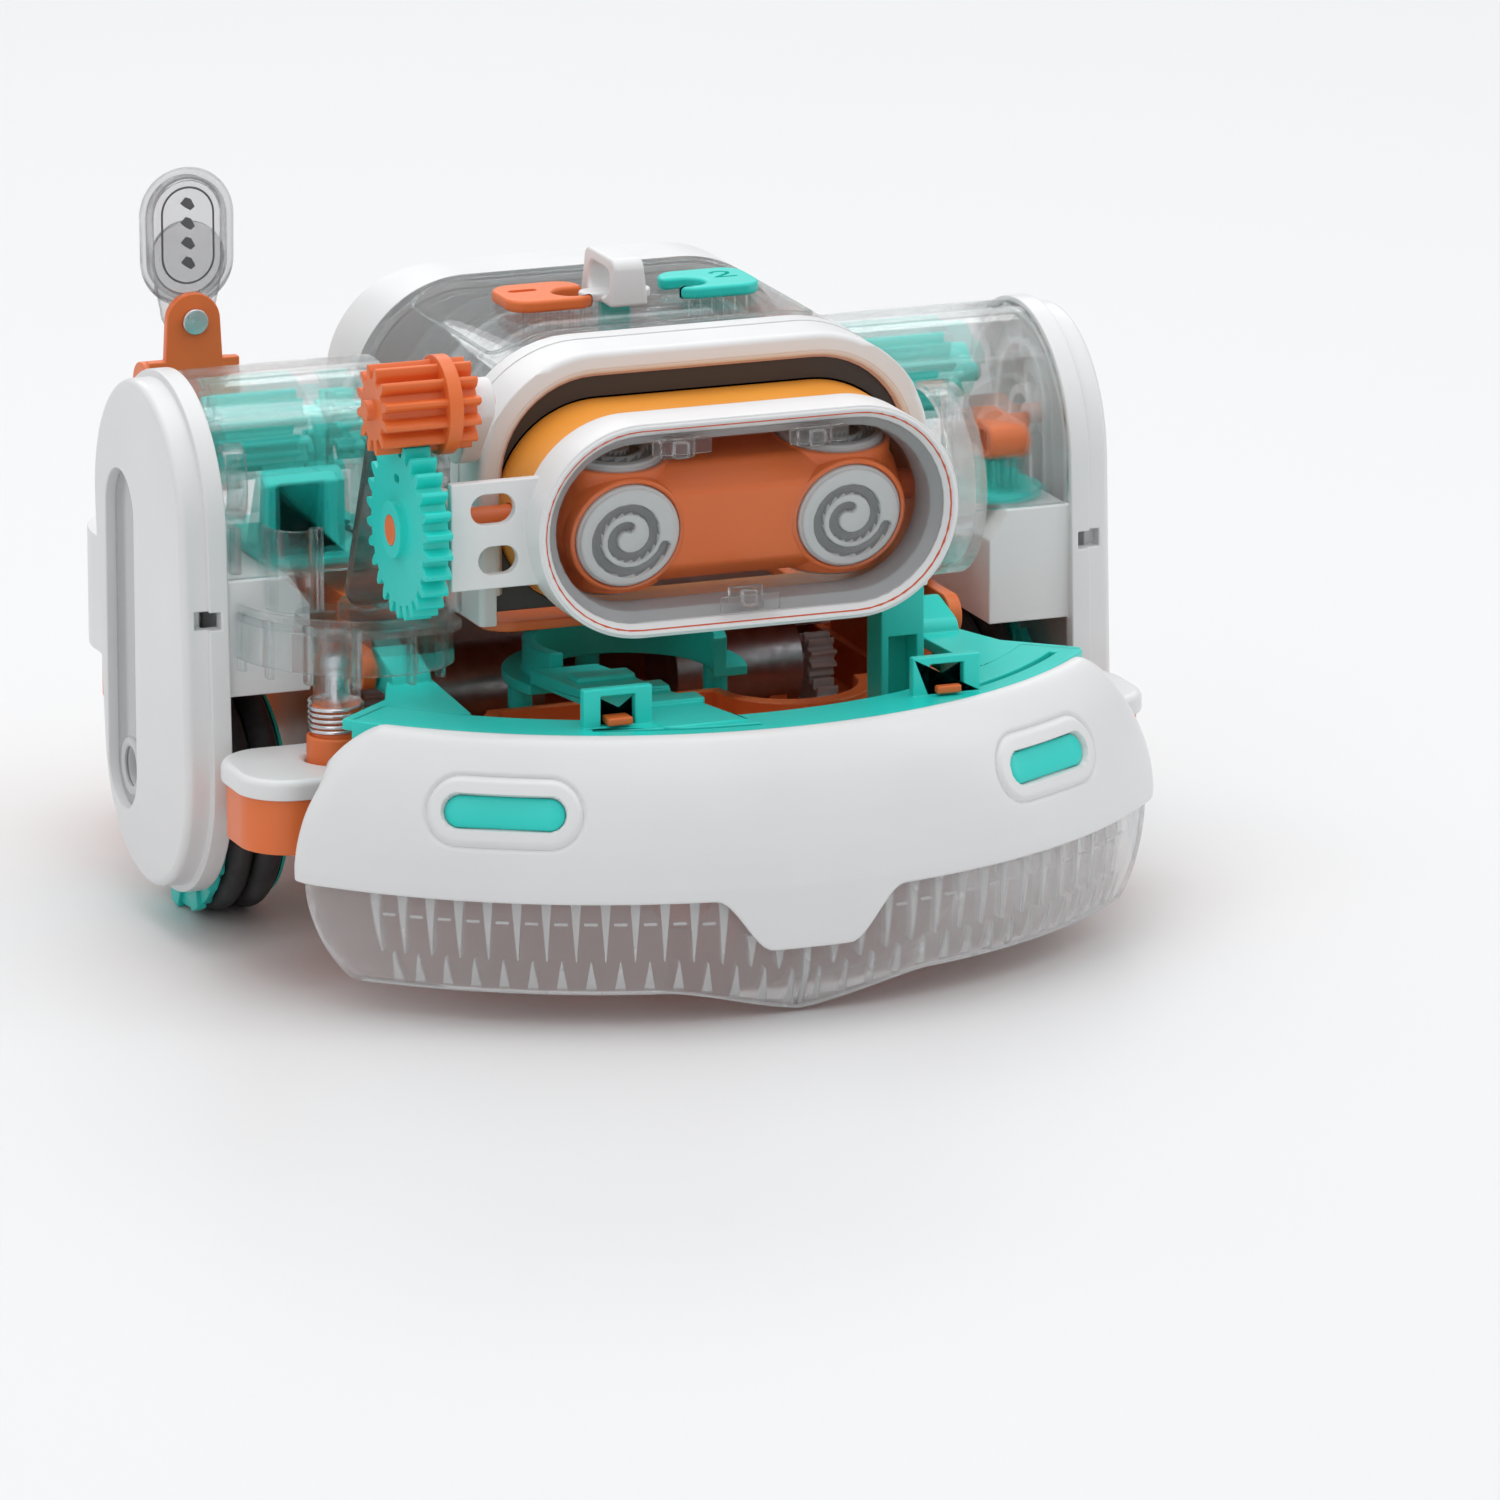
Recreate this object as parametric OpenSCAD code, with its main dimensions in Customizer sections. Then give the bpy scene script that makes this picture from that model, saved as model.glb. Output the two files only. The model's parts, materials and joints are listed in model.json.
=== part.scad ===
// Two-wheeled table-edge robot with a spinning face drum, open gear pods and a drop-sensing bumper.
// Laid out from the wheel axle: x across, y to the rear, z up from the floor. The finished part is
// moved back by axle_y, which puts its origin on the floor at the middle of its plan.

/* [Body] */
// Overall width across the two side plates
overall_w = 194; // [190:1:198]
// Thickness of a side plate, skin and rim together
plate_t = 9; // [8:0.5:10]
// Radius of the plate's arched top
plate_r = 27; // [26:0.5:28]
// Height of the structural deck's top face
deck_z = 68; // [67:0.5:69]
// Wall thickness of the clear and white shells
shell_t = 1.8; // [1.4:0.1:2.2]

/* [Hood] */
// Half the width of the hood
hood_hw = 46.5; // [45:0.5:47]
// Height of the hood's flat top
hood_top = 120.3; // [119:0.1:121]
// Radius of the hood's shoulders
hood_r = 24; // [20:1:26]

/* [Wheels] */
// Diameter over the tyres
wheel_d = 48; // [46:0.5:50]
// Thickness of one tyre's cord
tyre_cord = 5.5; // [5:0.1:6]
// Distance between the two tyres of a wheel
tyre_pitch = 6; // [6:0.1:6.4]
// Distance from the centre plane to the middle of a wheel
wheel_x = 78.6; // [78:0.1:79]
// Diameter of the wheel axles
axle_d = 5; // [4:0.1:5]

/* [Gears] */
// Module of the visible gears
gear_module = 1.25; // [1.25]
// Teeth of the drum gear
drum_teeth = 26; // [26]
// Teeth of the double gear and of the pod pinions
small_teeth = 12; // [12]
// Module of the drive gears on the axles and motors
drive_module = 0.8; // [0.8]
// Teeth of an axle gear
axle_teeth = 28; // [28]
// Teeth of a motor pinion
motor_teeth = 10; // [10]

/* [Head] */
// Length of the face drum
drum_len = 75; // [72:1:76]
// Distance from the drum's axis to a face
drum_half = 12.3; // [12:0.1:12.4]
// How far the drum's face leans back at rest, in degrees
drum_tilt = 10; // [0:1:15]
// Diameter of an eye disc
eye_d = 21; // [20:0.5:21]
// Distance from the centre plane to an eye
eye_x = 22.7; // [21:0.1:23]
// Width and height of the bezel ring
ring_w = 86; // [84:1:88]
ring_h = 42; // [41:0.5:43]

/* [Bumper] */
// Plan radius of the bumper
bumper_r = 113; // [110:1:115]
// Height of the seam between the white shell and the clear skirt
seam_z = 25; // [24:0.5:27]
// Height of the skirt's lower edge
skirt_z = 6; // [5:0.5:8]
// Height of the beak's tip
beak_z = 0.6; // [0.5:0.1:1]

/* [Mode slide] */
// Travel of the slide knob from mode 1 to mode 2
knob_travel = 7; // [6:0.5:7]

/* [Hidden] */
$fn = 64;

axle_y = 19;
fender_z = 74;
axle_z = wheel_d / 2;
axle_r = axle_d / 2;
plate_x = overall_w / 2 - plate_t;
running = 0.05;
arch_c = [-5.2, 81.5];
pod_x = hood_hw + 1;
pod_shell_t = 1.6;
base_z = 27;
tray_z = 38;
drum_y = -67;
drum_z = 90.3;
drum_shaft_r = 3;
double_z = drum_z + gear_module * (drum_teeth + small_teeth) / 2;
double_shaft_r = 2;
pinion_c = [-8, 96.3];
pinion_shaft_r = 2;
motor_z = axle_z + drive_module * (axle_teeth + motor_teeth) / 2;
motor_r = 9.5;
ring_y = -85.5;
lens_y = -84;
bumper_c = -6.4;
rear_y = bumper_r - bumper_c - 2 * axle_y;
boss_x = 71.6;
boss_y = -50;
hinge_c = [-36, 55];
hinge_x = 62.5;
tab_x = [-29.7, 37.8];
knob_x = -3.3;
knob_y = -20.5;
paddle_x = -75.3;
paddle_y = 25;
paddle_z = 112.8;
skid_y = -48;
caster_y = 54;
lever_c = [-10, 86.2];
swirl_c = [77, -19];
teal = [0.13, 0.72, 0.66];
orange = [0.88, 0.38, 0.18];
white = [0.9, 0.9, 0.9];
clear = [0.82, 0.9, 0.92, 0.35];
grey = [0.72, 0.73, 0.73];
steel = [0.75, 0.76, 0.78];

// ---- helpers ----

// Moves a sub-part from the axle's line to the part's own origin
module placed() { translate([0, axle_y, 0]) children(); }

// Mirrors a right-hand sub-part to the left for side = -1
module at_side(side) {
  if (side < 0) mirror([1, 0, 0]) children();
  else children();
}

// Extrudes a (y, z) outline from x0 to x1
module along_x(x0, x1) {
  translate([x0, 0, 0]) rotate([90, 0, 90]) linear_extrude(x1 - x0) children();
}

// Extrudes an (x, z) outline from y0 to y1
module along_y(y0, y1) {
  translate([0, y1, 0]) rotate([90, 0, 0]) linear_extrude(y1 - y0) children();
}

// Cylinder along x about (y, z)
module rod_x(x0, x1, r, at = [0, 0]) {
  translate([x0, at[0], at[1]]) rotate([0, 90, 0]) cylinder(r = r, h = x1 - x0);
}

// Outline round two circles and their common tangents
module taper(p, rp, q, rq) {
  d = q - p;
  l = norm(d);
  a = atan2(d[1], d[0]);
  b = acos((rp - rq) / l);
  translate(p) circle(rp);
  translate(q) circle(rq);
  polygon([
    p + rp * [cos(a + b), sin(a + b)], p + rp * [cos(a - b), sin(a - b)],
    q + rq * [cos(a - b), sin(a - b)], q + rq * [cos(a + b), sin(a + b)]
  ]);
}

// Rectangle from low to high with rounded corners
module rounded(low, high, r) {
  translate([low[0] + r, low[1]]) square([high[0] - low[0] - 2 * r, high[1] - low[1]]);
  translate([low[0], low[1] + r]) square([high[0] - low[0], high[1] - low[1] - 2 * r]);
  for (x = [low[0] + r, high[0] - r], y = [low[1] + r, high[1] - r])
    translate([x, y]) circle(r);
}

// Stadium of width w and height h about the origin
module stadium(w, h) {
  square([w - h, h], center = true);
  for (s = [-1, 1]) translate([s * (w - h) / 2, 0]) circle(h / 2);
}

function polar(r, a) = [r * cos(a), r * sin(a)];
function involute(a) = tan(a) * 180 / PI - a;

// One tooth's points on the side facing +angle, from root to tip
function flank(n, m, thin) = let (
  pitch_r = m * n / 2,
  base_r = pitch_r * cos(20),
  root_r = pitch_r - 1.2 * m,
  tip_r = pitch_r + 0.95 * m,
  half = 90 / n - thin / pitch_r * 180 / PI + involute(20),
  start_r = max(base_r, root_r)
) concat(
  [polar(root_r, half - involute(acos(base_r / start_r)))],
  [for (i = [0:4]) let (r = start_r + (tip_r - start_r) * i / 4)
    polar(r, half - involute(acos(base_r / r)))]
);

// Involute spur outline with a tooth on the x axis, each flank cut back by thin
module gear_outline(n, m, thin = 0.06) {
  side = flank(n, m, thin);
  last = len(side) - 1;
  tooth = concat(
    [for (i = [0:last]) [side[i][0], -side[i][1]]],
    [for (i = [last:-1:0]) side[i]]
  );
  polygon([for (k = [0:n - 1], p = tooth) let (a = 360 * k / n)
    [p[0] * cos(a) - p[1] * sin(a), p[0] * sin(a) + p[1] * cos(a)]]);
}

// Gear from x0 to x1 about (y, z), turned by turn degrees
module gear_x(n, m, x0, x1, at, turn = 0) {
  translate([0, at[0], at[1]]) along_x(x0, x1) rotate(turn) gear_outline(n, m);
}

// Round wire coiled about z: coil radius, wire radius, pitch and turns
module helix(r, wire, pitch, turns) {
  steps = round(turns * 20);
  sides = 8;
  slope = atan(pitch / (2 * PI * r));
  points = [for (i = [0:steps], k = [0:sides - 1]) let (
    a = 360 * turns * i / steps,
    out = r + wire * cos(360 * k / sides),
    up = wire * sin(360 * k / sides)
  ) [
    out * cos(a) + up * sin(slope) * sin(a),
    out * sin(a) - up * sin(slope) * cos(a),
    pitch * turns * i / steps + up * cos(slope)
  ]];
  sheath = [for (i = [0:steps - 1], k = [0:sides - 1]) let (n = (k + 1) % sides)
    [i * sides + k, i * sides + n, (i + 1) * sides + n, (i + 1) * sides + k]];
  first = [for (k = [0:sides - 1]) sides - 1 - k];
  last = [for (k = [0:sides - 1]) steps * sides + k];
  polyhedron(points, concat([first, last], sheath));
}

// ---- chassis ----

module plate_outline(grow = 0) {
  taper(arch_c, plate_r + grow, [-8.5, 34.5], plate_r - 1 + grow);
}

module base_outline(grow = 0) {
  rounded([-59.5 - grow, -62 - grow], [59.5 + grow, 76 + grow], 8);
  rounded([-93 - grow, -64 - grow], [93 + grow, -38 + grow], 10);
  rounded([-82 - grow, 28 - grow], [82 + grow, rear_y - 2.5 + grow], 18);
}

module base_tray() placed() color(orange) {
  difference() {
    translate([0, 0, base_z]) linear_extrude(tray_z - base_z) base_outline();
    translate([0, 0, base_z + 2.5]) linear_extrude(tray_z - base_z) difference() {
      base_outline(-2);
      translate([-boss_x, boss_y]) circle(4);
    }
    for (s = [-1, 1])
      translate([s * 47.3 - 3.5, -12, base_z - 1]) cube([7, 24, 6]);
    translate([0, caster_y, base_z - 1]) cylinder(r = drum_shaft_r + running, h = 5);
    translate([-boss_x, boss_y, base_z + 4]) cylinder(r = 1.5, h = 10);
  }
  difference() {
    translate([-boss_x, boss_y, base_z + 1]) cylinder(r = 5, h = 24.4);
    translate([-boss_x, boss_y, base_z + 4]) cylinder(r = 1.5, h = 24);
  }
  translate([0, skid_y, 0]) rotate_extrude() intersection() {
    translate([0, 6]) union() {
      circle(6);
      square([6, base_z - 5]);
    }
    square([6, base_z + 1]);
  }
  difference() {
    for (s = [-1, 1], x = [18, 34])
      translate([s * (x + 2) - 2, -8, base_z + 2.5]) cube([4, 16, 8]);
    for (s = [-1, 1]) at_side(s) rod_x(13, 42, motor_r + running, [0, motor_z]);
  }
  difference() {
    for (s = [-1, 1]) translate([s * 32 - 2, -6, 18.5]) cube([4, 12, base_z - 18.5]);
    for (s = [-1, 1]) at_side(s) rod_x(29, 35, axle_r + running, [0, axle_z]);
  }
}

// Rear edge of the bumper frame's band at x
function band_rear(x) = bumper_c - sqrt(pow(bumper_r - 27, 2) - x * x);

// Raised tray with a wavy rear wall that the bumper frame passes over
module front_tray() placed() color(orange) {
  difference() {
    translate([0, 0, tray_z]) linear_extrude(7) tray_outline();
    translate([0, 0, tray_z + 3]) linear_extrude(11) difference() {
      tray_outline(-2);
      translate([-16, -84]) square([22, 14]);
    }
    translate([-10, -81, tray_z + 2]) linear_extrude(11) square([10, 8]);
  }
  for (x = tab_x) translate([x - 2.5, band_rear(abs(x) + 3) + 1, tray_z + 2]) {
    cube([5, 2, 16.4]);
    translate([0, -95 - band_rear(abs(x) + 3), 14.9]) cube([5, 96 + band_rear(abs(x) + 3), 1.5]);
  }
}

module tray_outline(grow = 0) {
  intersection() {
    translate([0, bumper_c]) circle(bumper_r - 18 + grow);
    difference() {
      translate([-56 - grow, -100]) square([112 + 2 * grow, 62 + grow]);
      translate([26, -38 + grow]) circle(14 - grow);
      translate([-48, -34 + grow]) circle(12 - grow);
    }
  }
}

// White caps over the two front wings
module pad_covers() placed() color(white) for (s = [-1, 1]) at_side(s) difference() {
  translate([0, 0, tray_z]) linear_extrude(4) intersection() {
    base_outline(0.8);
    translate([60, -66]) square([40, 30]);
  }
  translate([boss_x, boss_y, tray_z - 1]) cylinder(r = 6.2, h = 6);
}

module rear_shell() placed() color(white) difference() {
  translate([0, 0, tray_z]) linear_extrude(24) rounded([-84.5, 27], [84.5, rear_y], 20);
  translate([0, 0, tray_z - 1]) linear_extrude(23) rounded([-82.5, 29], [82.5, rear_y - 2], 18);
}

module deck_plate() placed() color(orange) difference() {
  translate([0, 0, deck_z - 2]) linear_extrude(2) union() {
    rounded([-62.5, -30], [62.5, 26], 3);
    rounded([-44, -60], [44, 26], 6);
  }
  translate([-24, -52, deck_z - 3]) cube([48, 22, 4]);
}

module gearbox_wall(side) placed() color(orange) at_side(side) difference() {
  along_x(59.7, hinge_x) union() {
    translate([-24, 15]) square([48, deck_z - 17]);
    taper(hinge_c, 4, [-20, 55], 4);
  }
  rod_x(59, 63, axle_r + running, [0, axle_z]);
  rod_x(59, 63, 1.5, hinge_c);
}
module gearbox_wall_left() gearbox_wall(-1);
module gearbox_wall_right() gearbox_wall(1);

module side_plate(side) placed() color(white) at_side(side) {
  difference() {
    union() {
      along_x(plate_x, plate_x + 4) plate_outline(1.5);
      along_x(plate_x + 4, overall_w / 2) plate_outline();
    }
    along_x(plate_x - 1, plate_x + 4.5) plate_outline(-2);
    along_x(plate_x + 6.5, overall_w / 2 + 1) taper([5.5, 80], 8.7, [5.5, 29], 8.7);
    rod_x(plate_x, overall_w / 2, 4, [5.5, 28.5]);
    translate([plate_x + 1.5, -38, deck_z - 3]) cube([5, 8, 3.5]);
  }
  difference() {
    union() {
      rod_x(plate_x + 0.5, plate_x + 4.5, 6.5, [5.5, 28.5]);
      rod_x(plate_x + 0.2, plate_x + 4.5, 5.5, [0, axle_z]);
      rod_x(plate_x + 0.2, plate_x + 4.5, 3.5, lever_c);
      along_x(plate_x + 0.5, plate_x + 4.5) difference() {
        taper([-6, 89], 13, [-6, 66], 13);
        taper([-6, 89], 11.5, [-6, 66], 11.5);
      }
      along_x(plate_x + 0.5, plate_x + 4.5) difference() {
        taper([-6, 86], 6.5, [-6, 70], 6.5);
        taper([-6, 86], 4.5, [-6, 70], 4.5);
      }
      translate([plate_x + 0.5, -6.8, 98]) cube([4, 1.6, 9]);
    }
    rod_x(plate_x, plate_x + 5, 4, [5.5, 28.5]);
    rod_x(plate_x, plate_x + 3.5, axle_r + running, [0, axle_z]);
    rod_x(plate_x, plate_x + 4, 1.5 + running, lever_c);
  }
  fender();
  if (side > 0) translate([swirl_c[0], swirl_c[1], fender_z - 1]) cylinder(r = 2, h = 9.2);
}
module side_plate_left() side_plate(-1);
module side_plate_right() side_plate(1);

// Box over the front of the wheel, open below
module fender() {
  difference() {
    along_y(-33, 22) polygon([
      [71, 51], [71, deck_z], [75, fender_z], [plate_x, fender_z], [plate_x, 51]
    ]);
    along_y(-31, 20) polygon([
      [73, 50], [73, deck_z - 1], [75.8, fender_z - 2], [plate_x - 1, fender_z - 2],
      [plate_x - 1, 50]
    ]);
  }
}

module pod_outline(grow = 0) {
  translate(arch_c) circle(plate_r + 0.8 + grow);
  translate([arch_c[0] - plate_r - 0.8 - grow, 74.2])
    square([2 * (plate_r + 0.8 + grow), arch_c[1] - 74.2]);
}

module pod_cover(side) placed() color(clear) at_side(side) difference() {
  along_x(pod_x, plate_x) pod_outline();
  along_x(pod_x - 1, plate_x + 1) pod_outline(-pod_shell_t);
  translate([pod_x - 1, -60, 50]) cube([60, 90, 24.2]);
}
module pod_cover_left() pod_cover(-1);
module pod_cover_right() pod_cover(1);

// ---- hood ----

module hood_profile(grow = 0, low = deck_z) {
  hw = hood_hw + grow;
  top = hood_top + grow;
  r = hood_r + grow;
  translate([-hw, low]) square([2 * hw, top - r - low]);
  translate([-hw + r, low]) square([2 * (hw - r), top - low]);
  for (s = [-1, 1]) translate([s * (hw - r), top - r]) circle(r);
}

module hood_front_frame() placed() color(white) {
  difference() {
    along_y(-62, -50) hood_profile();
    along_y(-63, -49) hood_profile(-3.5, deck_z - 1);
  }
  difference() {
    along_x(-50.5, -hood_hw) taper([drum_y, double_z], 4.5, [-58, 106], 6);
    rod_x(-51, -46, double_shaft_r + running, [drum_y, double_z]);
  }
}

module hood_window() placed() color(clear) difference() {
  along_y(-50, 12) hood_profile();
  along_y(-51, 13) hood_profile(-shell_t, deck_z - 1);
  translate([knob_x - 3.5, knob_y - 1.8, hood_top - 3]) cube([knob_travel + 7, 3.6, 5]);
}

module hood_rear_frame() placed() color(white) difference() {
  union() {
    along_y(12, 26) hood_profile();
    along_y(26, 36) hood_profile(-3, tray_z + 24);
  }
  along_y(11, 24) hood_profile(-3, deck_z - 1);
  along_y(23, 34) hood_profile(-6, deck_z);
}

// Raised pad with a slot that faces the middle
module mode_pad(x, facing) placed() color(facing > 0 ? orange : teal) difference() {
  translate([x, knob_y + 2, hood_top]) linear_extrude(1.6) intersection() {
    rounded([-9, -8], [9, 8], 5);
  }
  translate([x + facing * 9, knob_y, hood_top - 1]) linear_extrude(4)
    stadium(14, 7.4);
}
module mode_pad_1() mode_pad(-17.5, 1);
module mode_pad_2() mode_pad(17, -1);

module battery_box() placed() color(grey) difference() {
  translate([-28, -26, deck_z]) cube([56, 48, 20]);
  translate([-26, -24, deck_z + 2]) cube([52, 44, 20]);
}

module battery_cells() placed() color(steel)
  for (k = [-1:1]) {
    rod_x(-25, 23.5, 7.2, [-2 + k * 14.6, deck_z + 9.4]);
    rod_x(23.5, 25, 2.7, [-2 + k * 14.6, deck_z + 9.4]);
  }

// ---- head ----

module at_drum() { translate([0, drum_y, drum_z]) children(); }

module drum_housing() placed() color(orange) difference() {
  at_drum() along_y(-8, 9) stadium(ring_w - 1, ring_h - 1);
  at_drum() along_y(-9, 10) stadium(ring_w - 6, ring_h - 5.6);
  rod_x(-45, 45, drum_shaft_r + running, [drum_y, drum_z]);
}

module recess_band() placed() color([0.22, 0.2, 0.19]) difference() {
  along_y(-60, -58) hood_profile(-3.6, drum_z - 20);
  at_drum() along_y(5, 12) stadium(ring_w - 0.8, ring_h - 0.8);
}

module face_ring() placed() color(white) {
  difference() {
    translate([0, 0, drum_z]) along_y(ring_y, drum_y - 8) stadium(ring_w, ring_h);
    translate([0, 0, drum_z]) along_y(lens_y, drum_y - 7) stadium(ring_w - 5, ring_h - 5);
    translate([0, 0, drum_z]) along_y(ring_y - 1, lens_y + 1) stadium(ring_w - 8, ring_h - 8);
  }
  difference() {
    translate([0, 0, drum_z]) along_y(drum_y - 11, drum_y - 8.8)
      translate([-58, -10.5]) square([18, 21]);
    translate([0, 0, drum_z]) along_y(drum_y - 12, drum_y - 8) union() {
      translate([-49.5, 5]) stadium(9, 6);
      translate([-48.5, -5]) stadium(8, 5.5);
    }
    translate([0, 0, drum_z]) along_y(drum_y - 12, drum_y - 8) stadium(ring_w - 5, ring_h - 5);
  }
  difference() {
    along_x(-58, -55.6) taper([drum_y, drum_z], 7, [drum_y - 3, drum_z], 7.8);
    rod_x(-59, -55, drum_shaft_r + running, [drum_y, drum_z]);
  }
}

module face_lens() placed() color(clear)
  translate([0, 0, drum_z]) along_y(lens_y - 1.2, lens_y) stadium(ring_w - 8.2, ring_h - 8.2);

module lens_clips() placed() color(clear)
  for (c = [[-14, 1], [14, 1], [0, -1]])
    translate([c[0] - 5, ring_y - 0.6, drum_z + c[1] * (ring_h / 2 - 3.2) - 1.2])
      cube([10, 0.6, 2.4]);

// Clear cap that closes the drum's right end
module drum_end_cap() placed() color(clear) difference() {
  rod_x(ring_w / 2 + 0.2, ring_w / 2 + 7, 19, [drum_y + 3, drum_z]);
  rod_x(ring_w / 2 - 1, ring_w / 2 + 5.4, 17.4, [drum_y + 3, drum_z]);
  translate([40, -62.3, 60]) cube([20, 30, 60]);
}

// Upright strut between the front tray and the bezel
module drum_link() placed() color(teal) difference() {
  translate([34, -68, tray_z + 3]) cube([9, 7.6, drum_z - ring_h / 2 + 0.2 - tray_z - 3]);
  translate([35.6, -69, tray_z + 8]) cube([5.8, 7, 14]);
}

module drum_body() placed() color(orange) at_drum() rotate([drum_tilt, 0, 0]) difference() {
  union() {
    intersection() {
      along_x(-drum_len / 2, drum_len / 2)
        rounded([-drum_half, -drum_half], [drum_half, drum_half], 4.5);
      along_y(-20, 20) rounded([-drum_len / 2, -drum_half], [drum_len / 2, drum_half], 12);
      linear_extrude(40, center = true)
        rounded([-drum_len / 2, -drum_half], [drum_len / 2, drum_half], 12);
    }
    rod_x(-66.5, 0, drum_shaft_r);
    rod_x(0, 41.8, drum_shaft_r);
  }
  for (k = [0:3], s = [-1, 1]) rotate([90 * k, 0, 0])
    translate([s * eye_x, 0, drum_half - 0.6]) cylinder(r = eye_d / 2, h = 3);
}

module eye_discs() placed() color(grey) at_drum() rotate([drum_tilt, 0, 0])
  for (k = [0:3], s = [-1, 1]) rotate([90 * k, 0, 0])
    translate([s * eye_x, 0, drum_half - 0.6]) cylinder(r = eye_d / 2, h = 1.2);

module drum_gear() placed() color(teal) difference() {
  union() {
    gear_x(drum_teeth, gear_module, -65.1, -59.8, [drum_y, drum_z], 90);
    rod_x(-66.5, -58.3, 5.5, [drum_y, drum_z]);
  }
  rod_x(-67, -58, drum_shaft_r, [drum_y, drum_z]);
  along_x(-67, -58) translate([drum_y, drum_z + 10]) stadium(3, 1.6);
}

module double_gear() placed() color(orange) {
  at = [drum_y, double_z];
  gear_x(small_teeth, gear_module, -70, -57.5, at, 90 + 180 / small_teeth);
  rod_x(-57.5, -54.7, 9.6, at);
  gear_x(small_teeth, gear_module, -54.7, -50.7, at, 90 + 180 / small_teeth);
  rod_x(-71.5, -45.6, double_shaft_r, at);
}

// ---- pods ----

module pod_pinion_left() placed() color(teal) {
  gear_x(small_teeth, gear_module, -83, -65, pinion_c);
  gear_x(small_teeth - 1, gear_module, -59, -53.5, pinion_c);
  rod_x(-84.5, -49, pinion_shaft_r, pinion_c);
}

module pod_pinion_right() placed() color(teal) {
  gear_x(small_teeth, gear_module, 50.5, 71, pinion_c);
  along_x(71.4, 76) taper(pinion_c, 4.6, pinion_c + [1.4, 2.6], 3.4);
  rod_x(49, 78, pinion_shaft_r, pinion_c);
}

// Orange bearing block and scoop frame of the left pod
module pod_scoop() placed() color(teal) difference() {
  union() {
    along_x(-77, -60.5) polygon([
      [-24, fender_z], [-24, 90], [-21, 92], [-19, 92], [-12, 76], [10, 76], [10, fender_z]
    ]);
    along_x(-64.3, -60.5) taper(pinion_c, 5, [-8, 76], 5);
    along_x(-52.3, -49.3) taper(pinion_c, 5, [-8, 76], 5);
    translate([-77, -26, fender_z]) cube([28, 38, 1.6]);
  }
  along_x(-74.5, -64.8) polygon([[-30, 76], [-30, 90], [-21.5, 90], [-13.5, 76]]);
  rod_x(-80, -45, pinion_shaft_r + running, pinion_c);
}

// Tapered smoky blade on a round foot in front of the left pod
module pod_stanchion() placed() color(clear) {
  translate([-62, -45, deck_z]) cylinder(r = 7, h = 3);
  translate([0, -46.2, 0]) rotate([90, 0, 0]) linear_extrude(2.4, center = true)
    taper([-63.5, 74], 4.5, [-61, 104], 2.2);
  translate([-76, -58, deck_z - 1.6]) linear_extrude(1.6) difference() {
    rounded([0, 0], [29, 25], 6);
    translate([4.4, 8]) circle(2.2);
  }
  difference() {
    translate([-boss_x, boss_y, 52.6]) cylinder(r = 4.6, h = deck_z - 1.6 - 52.6);
    translate([-boss_x, boss_y, 52]) cylinder(r = 2.2, h = 20);
  }
}

module lift_lever() placed() color(orange) difference() {
  union() {
    along_x(73, 81.5) taper(lever_c, 3.4, lever_c + [-15, 0], 3.4);
    rod_x(80, plate_x + 3.5, 1.5, lever_c);
  }
  for (k = [0:2]) translate([72, lever_c[0] - 16 + 4.8 * k, lever_c[1] - 2.1]) cube([6, 3.6, 4.2]);
}

module swirl_gear() placed() color(teal) translate([swirl_c[0], swirl_c[1], 0]) difference() {
  union() {
    translate([0, 0, fender_z + 0.3]) cylinder(r = 10, h = 1.8);
    translate([0, 0, fender_z + 2]) linear_extrude(6) gear_outline(10, 0.9);
  }
  translate([0, 0, fender_z]) cylinder(r = 2 + running, h = 9);
}

// ---- drive ----

module motor(side) placed() color(steel) at_side(side) difference() {
  rod_x(14, 41, motor_r, [0, motor_z]);
  rod_x(34, 42, 1 + running, [0, motor_z]);
}
module motor_left() motor(-1);
module motor_right() motor(1);

module motor_pinion(side) placed() color(white) at_side(side) {
  gear_x(motor_teeth, drive_module, 44.5, 50, [0, motor_z], 90);
  rod_x(35, 51, 1, [0, motor_z]);
}
module motor_pinion_left() motor_pinion(-1);
module motor_pinion_right() motor_pinion(1);

module axle(side) placed() color(steel) at_side(side) rod_x(28, 91, axle_r, [0, axle_z]);
module axle_left() axle(-1);
module axle_right() axle(1);

module axle_gear(side) placed() color(white) at_side(side) difference() {
  gear_x(axle_teeth, drive_module, 45, 49.5, [0, axle_z], 90 + 180 / axle_teeth);
  rod_x(44, 51, axle_r, [0, axle_z]);
}
module axle_gear_left() axle_gear(-1);
module axle_gear_right() axle_gear(1);

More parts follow.
